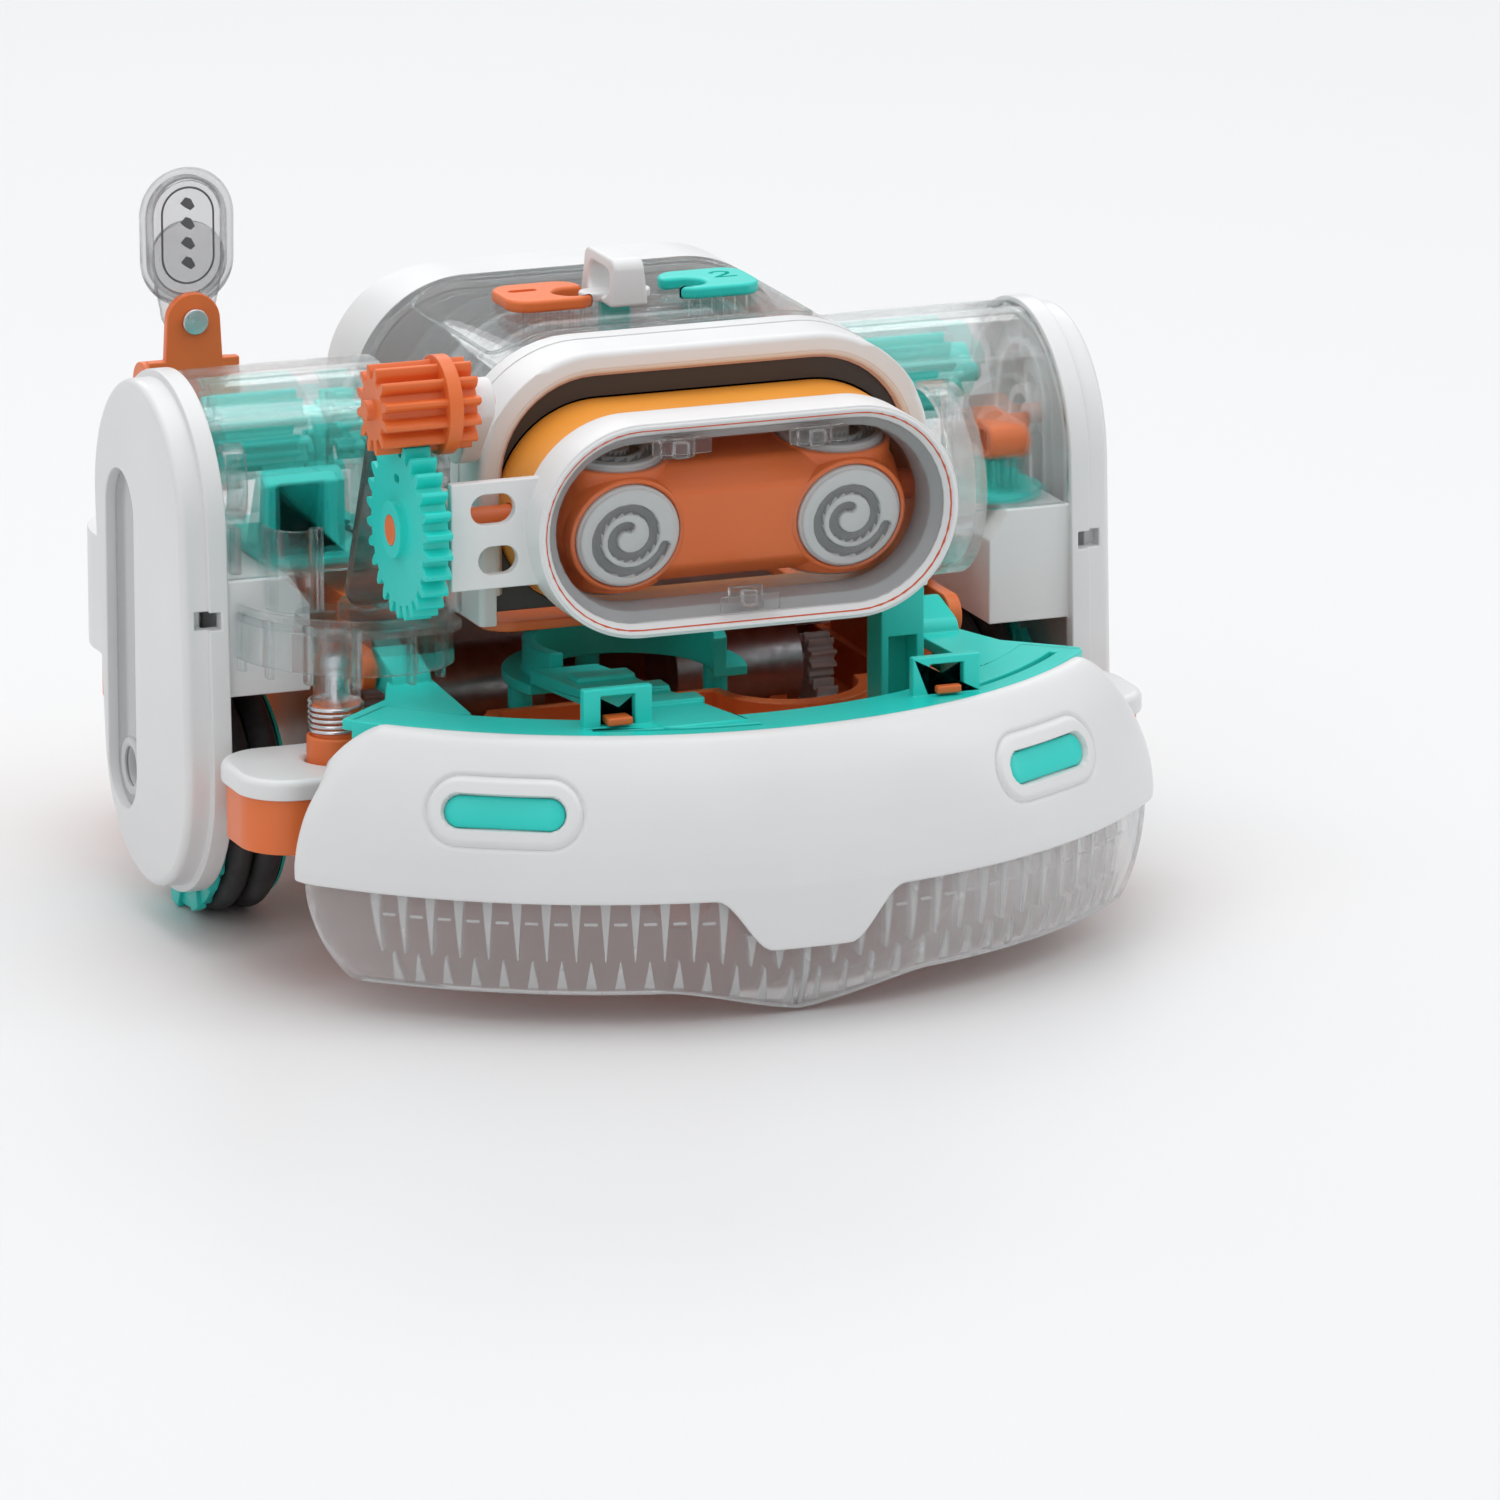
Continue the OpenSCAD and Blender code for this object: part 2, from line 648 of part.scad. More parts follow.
module wheel_hub(side) placed() color(teal) at_side(side)
  translate([wheel_x, 0, axle_z]) rotate([0, 90, 0]) difference() {
    union() {
      cylinder(r = 18.3, h = 2 * tyre_pitch + 2, center = true);
      for (s = [-1, 0, 1]) translate([0, 0, s * tyre_pitch])
        cylinder(r = s == 0 ? 18.6 : 21.8, h = s == 0 ? 0.4 : 0.4, center = true);
      for (s = [-1, 1]) translate([0, 0, s * (tyre_pitch + 0.5)])
        cylinder(r = 21.4, h = 1.2, center = true);
      for (k = [0:11]) rotate(30 * k) translate([20.8, 0, tyre_pitch])
        cylinder(r = 2.3, h = 1.6);
      translate([0, 0, -7.4]) cylinder(r = 6, h = 14.8);
    }
    for (s = [-1, 1]) translate([0, 0, s * 5.5]) difference() {
      cylinder(r = 15.8, h = 8, center = true);
      cylinder(r = 6, h = 8, center = true);
    }
    for (k = [0:5]) rotate(60 * k) translate([11, 0, -9]) cylinder(r = 3.2, h = 18);
    translate([0, 0, -9]) cylinder(r = axle_r, h = 18);
  }
module wheel_hub_left() wheel_hub(-1);
module wheel_hub_right() wheel_hub(1);

module tyres(side) placed() color([0.16, 0.16, 0.17]) at_side(side)
  for (s = [-1, 1]) translate([wheel_x + s * tyre_pitch / 2, 0, axle_z]) rotate([0, 90, 0])
    rotate_extrude() translate([wheel_d / 2 - tyre_cord / 2, 0]) circle(tyre_cord / 2);
module tyres_left() tyres(-1);
module tyres_right() tyres(1);

// ---- bumper ----

bumper_half_angle = 53;

// Revolves an (r, z) outline about the bumper's centre, over its arc
module bumper_sweep(trim = 0) {
  a = bumper_half_angle - trim;
  translate([0, bumper_c, 0]) rotate(-90 - a) rotate_extrude(angle = 2 * a, $fn = 160)
    children();
}

module bumper_shell() placed() color(white) difference() {
  bumper_sweep() polygon([
    [bumper_r - 10, 55], [bumper_r - 4.5, 46], [bumper_r - 1, 35], [bumper_r, 27],
    [bumper_r - 0.2, seam_z], [bumper_r - 2.8, seam_z], [bumper_r - 3, 33],
    [bumper_r - 7, 45], [bumper_r - 12.5, 53], [bumper_r - 14, 53], [bumper_r - 14, 55]
  ]);
  for (s = [-1, 1]) light_place(s) linear_extrude(8, center = true) stadium(24.4, 6.4);
}

// Puts an outline on the shell's slope at a light
module light_place(s) {
  translate([0, bumper_c, 0]) rotate(s * 30.7)
    translate([0, -bumper_r + 3.4, 41.9]) rotate([72, 0, 0]) children();
}

module bumper_lights() placed() color(teal)
  for (s = [-1, 1]) light_place(s) translate([0, 0, -1]) linear_extrude(2.2) stadium(24, 6);

module bumper_skirt() placed() color(clear) difference() {
  union() {
    bumper_sweep(1) polygon([
      [bumper_r - 0.4, seam_z - 0.1], [bumper_r - 1.2, 16], [bumper_r - 4.2, skirt_z],
      [bumper_r - 6, skirt_z], [bumper_r - 3, 16], [bumper_r - 2.4, seam_z - 0.1]
    ]);
    beak();
  }
}

// Pointed lower lip in the middle of the skirt
module beak() {
  intersection() {
    bumper_sweep(30) polygon([
      [bumper_r - 4.2, skirt_z + 0.1], [bumper_r - 6.8, 0], [bumper_r - 8.6, 0],
      [bumper_r - 6, skirt_z + 0.1]
    ]);
    along_y(-130, -90) polygon([[-27, skirt_z], [0, beak_z], [27, skirt_z], [27, 9], [-27, 9]]);
  }
}

// Curved band with two arms back to the hinge and a stepped ramp
module bumper_frame() placed() color(teal) difference() {
  union() {
    bumper_sweep(3) polygon([
      [bumper_r - 14.3, 50], [bumper_r - 14.3, 54.4], [bumper_r - 27, 54.4],
      [bumper_r - 27, 51.6], [bumper_r - 17, 51.6], [bumper_r - 17, 50]
    ]);
    for (s = [-1, 1]) at_side(s) difference() {
      translate([0, 0, 51.9]) linear_extrude(2.2) intersection() {
        polygon([[50, -42], [58.5, -42], [64, -56], [80, -70], [66, -90], [52, -72]]);
        translate([0, bumper_c]) circle(bumper_r - 15.5);
      }
      rod_x(49, 60, 4.5, hinge_c);
    }
    for (s = [-1, 1]) at_side(s) along_x(51, 59)
      taper(hinge_c, 4, hinge_c + [-8, -1], 2.8);
    translate([0, 0, 51.9]) linear_extrude(2.8) polygon([
      [-31, -47], [-17, -47], [-5, -97], [-22, -97]
    ]);
    for (k = [0:2]) translate([-26 + 3 * k, -60 - 11 * k, 54.2]) cube([12, 5, 1.4]);
    for (x = tab_x) translate([x - 7, -92.5, 52.2]) difference() {
      cube([14, 2.2, 9.8]);
      translate([3.5, -1, 2.4]) cube([7, 5, 5.9]);
    }
  }
  for (a = [-22, 28]) translate([0, bumper_c, 0]) rotate(-90 + a)
    rotate_extrude(angle = 20) translate([bumper_r - 20, 50]) square([1.6, 6]);
  rod_x(-60, -50, 1.5 + running, hinge_c);
  rod_x(50, 60, 1.5 + running, hinge_c);
}

module hinge_pins() placed() color(steel)
  for (s = [-1, 1]) at_side(s) rod_x(50, hinge_x, 1.5, hinge_c);

// Return spring between the tray and the bumper frame
module bumper_spring() placed() color(steel)
  translate([-5, -77, tray_z + 2.5]) helix(3, 0.45, 1.45, 3.5);

// ---- top slide ----

module slide_knob() placed() color(white) {
  translate([knob_x - 3.2, knob_y - 8.5, hood_top + 0.3]) cube([6.4, 3, 8]);
  translate([knob_x - 3.2, knob_y + 5.5, hood_top + 0.3]) cube([6.4, 3, 8]);
  translate([knob_x - 3.2, knob_y - 8.5, hood_top + 7]) cube([6.4, 17, 2.7]);
  translate([knob_x - 3.2, knob_y - 3, hood_top + 0.3]) cube([6.4, 6, 1.5]);
  translate([knob_x - 3.2, knob_y - 8.5, hood_top + 0.3]) cube([6.4, 17, 1.2]);
  translate([knob_x - 3, knob_y - 1.5, hood_top - 12]) cube([6, 3, 13]);
}

// ---- paddle ----

module paddle_bracket() placed() color(orange) difference() {
  union() {
    along_y(paddle_y - 2.2, paddle_y) union() {
      translate([paddle_x - 9.4, 78]) square([18.8, 27]);
      taper([paddle_x, 103], 6, [paddle_x, paddle_z], 5.5);
    }
    rod_x(paddle_x - 9.4, paddle_x + 9.4, 5, [paddle_y + 3.5, 99]);
  }
  translate([paddle_x, paddle_y + 1, paddle_z]) rotate([90, 0, 0]) cylinder(r = 1.6, h = 8);
}

module paddle_blade() placed() color(clear) difference() {
  along_y(paddle_y + 0.3, paddle_y + 3.3)
    taper([paddle_x, paddle_z + 5], 9, [paddle_x, 133.2], 9.8);
  along_y(paddle_y - 1, paddle_y + 0.9) difference() {
    taper([paddle_x, 121], 6, [paddle_x, 133.2], 7.6);
    taper([paddle_x, 121], 4.6, [paddle_x, 133.2], 6.2);
  }
  for (k = [0:3]) translate([paddle_x, paddle_y + 5, 122 + 4.2 * k]) rotate([90, 0, 0])
    cylinder(r = 0.9, h = 8);
  translate([paddle_x, paddle_y + 5, paddle_z]) rotate([90, 0, 0])
    cylinder(r = 1.5 + running, h = 8);
}

module screws() placed() color(steel) {
  translate([paddle_x, paddle_y + 4, paddle_z]) rotate([90, 0, 0]) cylinder(r = 1.5, h = 6.4);
  translate([paddle_x, paddle_y - 2.2, paddle_z]) rotate([90, 0, 0]) cylinder(r = 2.6, h = 1.4);
  translate([-boss_x, boss_y, 32]) cylinder(r = 1.5, h = 28);
  translate([-boss_x, boss_y, 60]) cylinder(r = 2.1, h = 2.4);
}

// ---- supports under the chassis ----

module caster_yoke() placed() color(white) translate([0, caster_y, 0]) {
  translate([0, 0, 21]) cylinder(r = drum_shaft_r, h = 9);
  translate([-7.4, -3, 18.5]) cube([14.8, 13, 2.8]);
  difference() {
    for (s = [-1, 1]) at_side(s) along_x(5.2, 7.4) taper([6, 8], 4, [3, 17], 5);
    rod_x(-8, 8, 1.5, [6, 8]);
  }
  rod_x(-7.4, 7.4, 1.5, [6, 8]);
}

module caster_wheel() placed() color([0.16, 0.16, 0.17]) translate([0, caster_y, 0]) difference() {
  rod_x(-4.8, 4.8, 8, [6, 8]);
  rod_x(-5, 5, 1.5 + running, [6, 8]);
}

// Track ring on three legs over the middle of the tray
module cam_ring() placed() color(teal) difference() {
  union() {
    translate([-8, -38, tray_z + 11.2]) cylinder(r = 24, h = 2);
    translate([-8, -38, tray_z + 11.2]) cylinder(r = 20, h = 8);
    for (a = [10, 90, 170]) translate([-8 + 20.7 * cos(a), -38 + 20.7 * sin(a), base_z + 2.5])
      cylinder(r = 2.4, h = tray_z + 9.5 - base_z);
  }
  translate([-8, -38, tray_z + 10]) cylinder(r = 17.5, h = 12);
  translate([-40, -80, tray_z]) cube([80, 34, 30]);
}

base_tray();
front_tray();
pad_covers();
rear_shell();
deck_plate();
side_plate_left();
side_plate_right();
pod_cover_left();
pod_cover_right();
gearbox_wall_left();
gearbox_wall_right();
hood_front_frame();
hood_window();
hood_rear_frame();
mode_pad_1();
mode_pad_2();
battery_box();
battery_cells();
drum_housing();
recess_band();
face_ring();
face_lens();
lens_clips();
drum_end_cap();
drum_link();
cam_ring();
pod_scoop();
pod_stanchion();
motor_left();
motor_right();
motor_pinion_left();
motor_pinion_right();
axle_left();
axle_right();
axle_gear_left();
axle_gear_right();
wheel_hub_left();
wheel_hub_right();
tyres_left();
tyres_right();
drum_body();
eye_discs();
drum_gear();
double_gear();
pod_pinion_left();
pod_pinion_right();
lift_lever();
bumper_shell();
bumper_skirt();
bumper_frame();
bumper_lights();
hinge_pins();
bumper_spring();
slide_knob();
paddle_bracket();
paddle_blade();
screws();
caster_yoke();
caster_wheel();
swirl_gear();
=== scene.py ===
"""Looks of the table-edge robot: moulded plastics, clear shells, camera, light and floor."""

import json
import math

import bmesh
import bpy
from mathutils import Matrix, Vector

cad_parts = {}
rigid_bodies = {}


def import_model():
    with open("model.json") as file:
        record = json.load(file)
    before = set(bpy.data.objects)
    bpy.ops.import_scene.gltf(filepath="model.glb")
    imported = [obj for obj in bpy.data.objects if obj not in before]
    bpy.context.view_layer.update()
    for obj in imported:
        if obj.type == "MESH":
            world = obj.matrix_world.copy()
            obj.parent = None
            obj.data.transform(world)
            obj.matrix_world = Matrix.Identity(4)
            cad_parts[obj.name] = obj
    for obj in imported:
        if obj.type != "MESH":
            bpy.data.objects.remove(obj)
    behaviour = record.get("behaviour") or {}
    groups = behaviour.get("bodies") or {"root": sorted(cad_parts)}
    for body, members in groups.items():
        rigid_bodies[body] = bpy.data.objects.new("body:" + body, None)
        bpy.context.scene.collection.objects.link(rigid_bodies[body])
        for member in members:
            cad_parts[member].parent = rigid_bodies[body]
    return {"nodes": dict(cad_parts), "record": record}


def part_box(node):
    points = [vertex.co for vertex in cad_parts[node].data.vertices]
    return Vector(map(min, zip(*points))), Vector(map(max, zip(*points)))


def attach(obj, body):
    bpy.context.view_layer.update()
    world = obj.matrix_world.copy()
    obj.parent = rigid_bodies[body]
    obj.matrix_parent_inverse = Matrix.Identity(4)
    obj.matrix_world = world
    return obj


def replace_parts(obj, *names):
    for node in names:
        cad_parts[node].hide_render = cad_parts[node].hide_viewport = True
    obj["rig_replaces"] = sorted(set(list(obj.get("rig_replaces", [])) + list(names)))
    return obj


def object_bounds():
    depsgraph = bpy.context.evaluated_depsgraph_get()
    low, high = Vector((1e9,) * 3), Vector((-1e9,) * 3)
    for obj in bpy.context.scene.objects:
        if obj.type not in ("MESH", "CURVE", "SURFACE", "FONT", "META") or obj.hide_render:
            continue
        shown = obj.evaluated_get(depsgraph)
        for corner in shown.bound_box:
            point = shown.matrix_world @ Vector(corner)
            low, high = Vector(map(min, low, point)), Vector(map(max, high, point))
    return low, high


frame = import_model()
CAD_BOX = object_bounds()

MM = 0.001
BODY_OF = {
    node: body
    for body, nodes in frame["record"]["behaviour"]["bodies"].items()
    for node in nodes
}


def middle(node):
    low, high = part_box(node)
    return (low + high) / 2


# Everything below is laid out in millimetres from the wheel axle's line, as the frame is.
AXLE_Y = middle("axle_left").y / MM


def row(x, y, z):
    """A point given from the axle's line in millimetres, in the frame's metres."""
    return Vector((x, y + AXLE_Y, z)) * MM


def axle_box(node):
    """A node's lowest and highest corners in millimetres from the axle's line."""
    low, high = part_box(node)
    shift = Vector((0, AXLE_Y, 0))
    return low / MM - shift, high / MM - shift


# ---------------------------------------------------------------- materials

# Radius in metres by which the shading softens a moulded edge
EDGE = 0.0003


class Nodes:
    """Short way to build a material's node tree round one main shader."""

    def __init__(self, name):
        self.material = bpy.data.materials.new(name)
        self.material.use_nodes = True
        self.tree = self.material.node_tree
        self.tree.nodes.clear()
        self.out = self.add("ShaderNodeOutputMaterial")
        self.shader = self.add("ShaderNodeBsdfPrincipled")

    def add(self, kind, values=None, **settings):
        made = self.tree.nodes.new(kind)
        for key, value in settings.items():
            setattr(made, key, value)
        for key, value in (values or {}).items():
            made.inputs[key].default_value = value
        return made

    def link(self, source, target):
        self.tree.links.new(source, target)

    def set(self, socket, value):
        self.shader.inputs[socket].default_value = value

    def feed(self, socket, source):
        self.link(source, self.shader.inputs[socket])

    def done(self, surface=None):
        self.link(surface or self.shader.outputs["BSDF"], self.out.inputs["Surface"])
        return self.material


def object_noise(n, scale, detail=2.0, rough=0.5):
    """Noise over the piece's own coordinates, which are the frame's metres."""
    where = n.add("ShaderNodeTexCoord")
    noise = n.add("ShaderNodeTexNoise", {"Scale": scale, "Detail": detail, "Roughness": rough})
    n.link(where.outputs["Object"], noise.inputs["Vector"])
    return noise.outputs["Fac"]


def ranged(n, source, low, high, from_low=0.3, from_high=0.7):
    made = n.add("ShaderNodeMapRange", {
        "From Min": from_low, "From Max": from_high, "To Min": low, "To Max": high,
    })
    n.link(source, made.inputs["Value"])
    return made.outputs["Result"]


def mixed(n, source, first, second):
    made = n.add("ShaderNodeMix", data_type="RGBA")
    made.inputs["A"].default_value = (*first, 1.0)
    made.inputs["B"].default_value = (*second, 1.0)
    n.link(source, made.inputs["Factor"])
    return made.outputs["Result"]


def surface_bump(n, height, strength, distance, edge=0.0):
    """Fine moulded texture, over edges rounded by `edge` metres."""
    bump = n.add("ShaderNodeBump", {"Strength": strength, "Distance": distance})
    n.link(height, bump.inputs["Height"])
    if edge:
        bevel = n.add("ShaderNodeBevel", {"Radius": edge}, samples=4)
        n.link(bevel.outputs["Normal"], bump.inputs["Normal"])
    return bump.outputs["Normal"]


def tinted(n, colour, deep, scale):
    """Slow drift between two tones of a colour."""
    return mixed(n, ranged(n, object_noise(n, scale), 0.0, 1.0), colour, deep)


def seen_through(n, tint, share):
    """Mixes the shader with plain transparency, and gives that mix and the transparent part."""
    passing = n.add("ShaderNodeBsdfTransparent")
    n.link(tint, passing.inputs["Color"])
    mix = n.add("ShaderNodeMixShader", {"Fac": share})
    n.link(n.shader.outputs["BSDF"], mix.inputs[1])
    n.link(passing.outputs["BSDF"], mix.inputs[2])
    return mix.outputs["Shader"], passing.outputs["BSDF"]


def plastic(name, colour, deep, rough, grain, coat=0.0):
    """Satin moulded plastic: slow colour drift, spark-eroded grain, handling marks in the gloss."""
    n = Nodes(name)
    n.feed("Base Color", tinted(n, colour, deep, 22.0))
    n.feed("Roughness", ranged(n, object_noise(n, 60.0, 4.0), *rough))
    n.feed("Normal", surface_bump(n, object_noise(n, 2600.0, 3.0, 0.6), grain, 0.00006, EDGE))
    n.set("IOR", 1.5)
    if coat:
        n.set("Coat Weight", coat)
        n.set("Coat Roughness", 0.12)
    return n.done()


def clear(name, colour, deep, rough, see_through):
    """Polished clear plastic that lets the lamps through, with faint flow lines."""
    n = Nodes(name)
    tint = tinted(n, colour, deep, 30.0)
    n.feed("Base Color", tint)
    n.feed("Roughness", ranged(n, object_noise(n, 90.0, 3.0), rough, rough * 2.2))
    n.feed("Normal", surface_bump(n, object_noise(n, 140.0, 1.0), 0.03, 0.0002, EDGE))
    n.set("IOR", 1.45)
    n.set("Transmission Weight", 1.0)
    mix, passing = seen_through(n, tint, see_through)
    path = n.add("ShaderNodeLightPath")
    shadow = n.add("ShaderNodeMixShader")
    n.link(path.outputs["Is Shadow Ray"], shadow.inputs["Fac"])
    n.link(mix, shadow.inputs[1])
    n.link(passing, shadow.inputs[2])
    return n.done(shadow.outputs["Shader"])


def frosted(name, colour, deep, rough, haze, see_through):
    """Clear plastic with a milky bloom: haze is its share of plain white scatter."""
    n = Nodes(name)
    tint = tinted(n, colour, deep, 40.0)
    n.feed("Base Color", tint)
    n.feed("Roughness", ranged(n, object_noise(n, 120.0, 3.0), rough, rough * 1.5))
    n.set("IOR", 1.45)
    n.set("Transmission Weight", 1.0 - haze)
    mix, _ = seen_through(n, tint, see_through)
    return n.done(mix)


def metal(name, colour, rough, brushed=0.0):
    """Turned or plated metal, with fine streaks where it is brushed."""
    n = Nodes(name)
    n.set("Metallic", 1.0)
    drift = ranged(n, object_noise(n, 300.0, 3.0), 0.0, 1.0)
    n.feed("Base Color", mixed(n, drift, colour, tuple(c * 0.8 for c in colour)))
    n.feed("Roughness", ranged(n, object_noise(n, 500.0, 2.0), *rough))
    n.feed("Normal", surface_bump(n, object_noise(n, 1800.0, 1.0), 0.1 + brushed, 0.00004, 0.0002))
    return n.done()


def rubber(name, colour):
    """Dull tyre rubber with dusty patches."""
    n = Nodes(name)
    dust = ranged(n, object_noise(n, 120.0, 5.0), 0.0, 1.0, 0.4, 0.75)
    n.feed("Base Color", mixed(n, dust, colour, tuple(c * 1.9 for c in colour)))
    n.feed("Roughness", ranged(n, object_noise(n, 200.0, 3.0), 0.5, 0.72))
    n.feed("Normal", surface_bump(n, object_noise(n, 3000.0, 3.0), 0.3, 0.00006))
    return n.done()


MATERIALS = {
    "white_plastic": plastic("satin_white", (0.77, 0.77, 0.77), (0.74, 0.74, 0.742), (0.28, 0.38), 0.08),
    "orange_plastic": plastic("orange", (0.80, 0.175, 0.038), (0.74, 0.15, 0.031), (0.32, 0.44), 0.12),
    "teal_plastic": plastic("teal", (0.02, 0.68, 0.60), (0.016, 0.62, 0.545), (0.28, 0.4), 0.1),
    "clear_plastic": clear("clear", (0.955, 0.968, 0.968), (0.935, 0.952, 0.955), 0.005, 0.6),
    "grey_plastic": plastic("light_grey", (0.52, 0.53, 0.53), (0.48, 0.49, 0.49), (0.4, 0.52), 0.2),
    # Near black: painted shade for the shadowed gap of the dark band between the hood and the drum's
    # housing; the ports' plugs use it too
    "dark_plastic": plastic("dark_band_shade", (0.05, 0.042, 0.038), (0.038, 0.033, 0.03), (0.35, 0.5), 0.2),
    "tyre_rubber": rubber("tyre", (0.045, 0.045, 0.048)),
    "steel": metal("bright_steel", (0.72, 0.72, 0.74), (0.16, 0.3)),
    "motor_metal": metal("motor_can", (0.52, 0.52, 0.54), (0.28, 0.42), 0.1),
}
AMBER = plastic("amber", (0.88, 0.36, 0.045), (0.84, 0.31, 0.04), (0.3, 0.42), 0.12)


def slot_of(node):
    """The record's material slot of a CAD node, from the name its packed material carries."""
    mesh = frame["nodes"][node].data
    for material in mesh.materials:
        if material:
            for name in MATERIALS:
                if material.name.startswith(name):
                    return name
    return "white_plastic"


# ---------------------------------------------------------------- mesh helpers


def piece(name, mesh, body, slot, material=None, replaces=(), smooth_angle=35, shade_material=None):
    """Turns a bmesh into a shown piece on a body; its second material, a painted shade, goes on its faces of
    index 1.
    """
    bmesh.ops.recalc_face_normals(mesh, faces=mesh.faces)
    data = bpy.data.meshes.new(name)
    mesh.to_mesh(data)
    mesh.free()
    data.materials.append(material or MATERIALS[slot])
    if shade_material:
        data.materials.append(shade_material)
    data.polygons.foreach_set("use_smooth", [True] * len(data.polygons))
    data.set_sharp_from_angle(angle=math.radians(smooth_angle))
    obj = bpy.data.objects.new(name, data)
    bpy.context.scene.collection.objects.link(obj)
    weighted = obj.modifiers.new("even_shading", "WEIGHTED_NORMAL")
    weighted.keep_sharp = True
    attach(obj, body)
    if replaces:
        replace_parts(obj, *replaces)


def cad_mesh(node):
    """A bmesh of a CAD node in millimetres from the axle's line, welded, with flat faces joined."""
    mesh = bmesh.new()
    mesh.from_mesh(frame["nodes"][node].data)
    bmesh.ops.transform(mesh, matrix=Matrix.Diagonal((1 / MM, 1 / MM, 1 / MM, 1)), verts=mesh.verts)
    bmesh.ops.translate(mesh, vec=(0, -AXLE_Y, 0), verts=mesh.verts)
    bmesh.ops.remove_doubles(mesh, verts=mesh.verts, dist=0.002)
    bmesh.ops.dissolve_limit(mesh, angle_limit=math.radians(0.6), verts=mesh.verts, edges=mesh.edges)
    return mesh


def to_frame(mesh):
    """Moves a mesh from the axle's line in millimetres to the frame's metres."""
    bmesh.ops.translate(mesh, vec=(0, AXLE_Y, 0), verts=mesh.verts)
    bmesh.ops.transform(mesh, matrix=Matrix.Diagonal((MM, MM, MM, 1)), verts=mesh.verts)
    return mesh


def hard_edges(mesh, degrees=28):
    limit = math.radians(degrees)
    return [e for e in mesh.edges if e.is_manifold and e.calc_face_angle(0) > limit]


def ease(mesh, width, segments=2, chosen=None):
    """Rounds the hard edges, or those that chosen(edge) picks, by width in millimetres."""
    edges = hard_edges(mesh)
    if chosen:
        edges = [e for e in edges if chosen(e)]
    if edges:
        bmesh.ops.bevel(mesh, geom=edges, offset=width, offset_type="OFFSET", segments=segments,
                        profile=0.5, affect="EDGES", clamp_overlap=False, loop_slide=False)


def eased(node, width=0.3, wide=(), segments=2, material=None):
    """Stands for a CAD node: the same shape with its moulded edges rounded."""
    mesh = cad_mesh(node)
    for chosen, size, steps in wide:
        ease(mesh, size, steps, chosen)
    if width:
        ease(mesh, width, segments)
    piece(node + "_moulded", to_frame(mesh), BODY_OF[node], slot_of(node), material, [node])


# ---------------------------------------------------------------- camera, light, floor


def set_camera():
    """A long lens from the front left, slightly above."""
    azimuth = math.radians(21.2)
    elevation = math.radians(14.9)
    distance = 2.36
    target = Vector((0.03306, AXLE_Y * MM, 0.02078))
    back = Vector((
        -math.sin(azimuth) * math.cos(elevation),
        -math.cos(azimuth) * math.cos(elevation),
        math.sin(elevation),
    ))
    data = bpy.data.cameras.new("camera")
    data.lens = 283.2
    data.sensor_width = 36.0
    camera = bpy.data.objects.new("camera", data)
    camera.location = target + back * distance
    camera.rotation_mode = "QUATERNION"
    camera.rotation_quaternion = (-back).to_track_quat("-Z", "Y")
    data.clip_start = 0.05
    data.clip_end = 60.0
    bpy.context.scene.collection.objects.link(camera)
    bpy.context.scene.camera = camera


def area_light(name, place, aim, size, power):
    data = bpy.data.lights.new(name, "AREA")
    data.shape = "RECTANGLE"
    data.size, data.size_y = size
    data.energy = power
    light = bpy.data.objects.new(name, data)
    light.location = place
    light.rotation_mode = "QUATERNION"
    light.rotation_quaternion = (Vector(aim) - Vector(place)).to_track_quat("-Z", "Y")
    bpy.context.scene.collection.objects.link(light)


def set_light():
    """A sky that is bright overhead and dim at the horizon, and soft lamps."""
    world = bpy.data.worlds.new("studio")
    world.use_nodes = True
    tree = world.node_tree
    background = tree.nodes["Background"]
    where = tree.nodes.new("ShaderNodeTexCoord")
    split = tree.nodes.new("ShaderNodeSeparateXYZ")
    tree.links.new(where.outputs["Generated"], split.inputs["Vector"])
    rise = tree.nodes.new("ShaderNodeMapRange")
    for key, value in (("From Min", 0.0), ("From Max", 0.9), ("To Min", 0.31), ("To Max", 1.12)):
        rise.inputs[key].default_value = value
    tree.links.new(split.outputs["Z"], rise.inputs["Value"])
    tree.links.new(rise.outputs["Result"], background.inputs["Strength"])
    background.inputs["Color"].default_value = (0.975, 0.985, 1.0, 1)
    bpy.context.scene.world = world
    centre = (0, 0, 0.06)
    area_light("top_softbox", (-0.1, 0.25, 1.3), centre, (1.0, 1.0), 5.0)
    area_light("front_left", (-1.1, -1.0, 0.75), centre, (0.8, 0.8), 1.7)
    area_light("right_strip", (1.3, -0.5, 0.8), centre, (0.3, 1.4), 3.0)
    area_light("back_strip", (0.4, 1.3, 0.9), centre, (1.6, 0.3), 3.5)
    bpy.context.scene.view_settings.view_transform = "Standard"


def add_floor():
    """Pale matt floor under the wheels."""
    mesh = bmesh.new()
    bmesh.ops.create_grid(mesh, x_segments=1, y_segments=1, size=15.0)
    data = bpy.data.meshes.new("floor")
    mesh.to_mesh(data)
    mesh.free()
    n = Nodes("pale_floor")
    n.feed("Base Color", tinted(n, (0.76, 0.76, 0.76), (0.745, 0.745, 0.748), 1.5))
    n.set("Roughness", 0.45)
    data.materials.append(n.done())
    floor = bpy.data.objects.new("floor", data)
    floor.location = (0, 0, min(0.0, CAD_BOX[0].z))
    bpy.context.scene.collection.objects.link(floor)


# ---------------------------------------------------------------- shape helpers


def smooth_step(value):
    value = min(max(value, 0.0), 1.0)
    return value * value * (3 - 2 * value)


def turns(count):
    """Cosines and sines evenly spaced round a circle."""
    return [(math.cos(2 * math.pi * k / count), math.sin(2 * math.pi * k / count)) for k in range(count)]


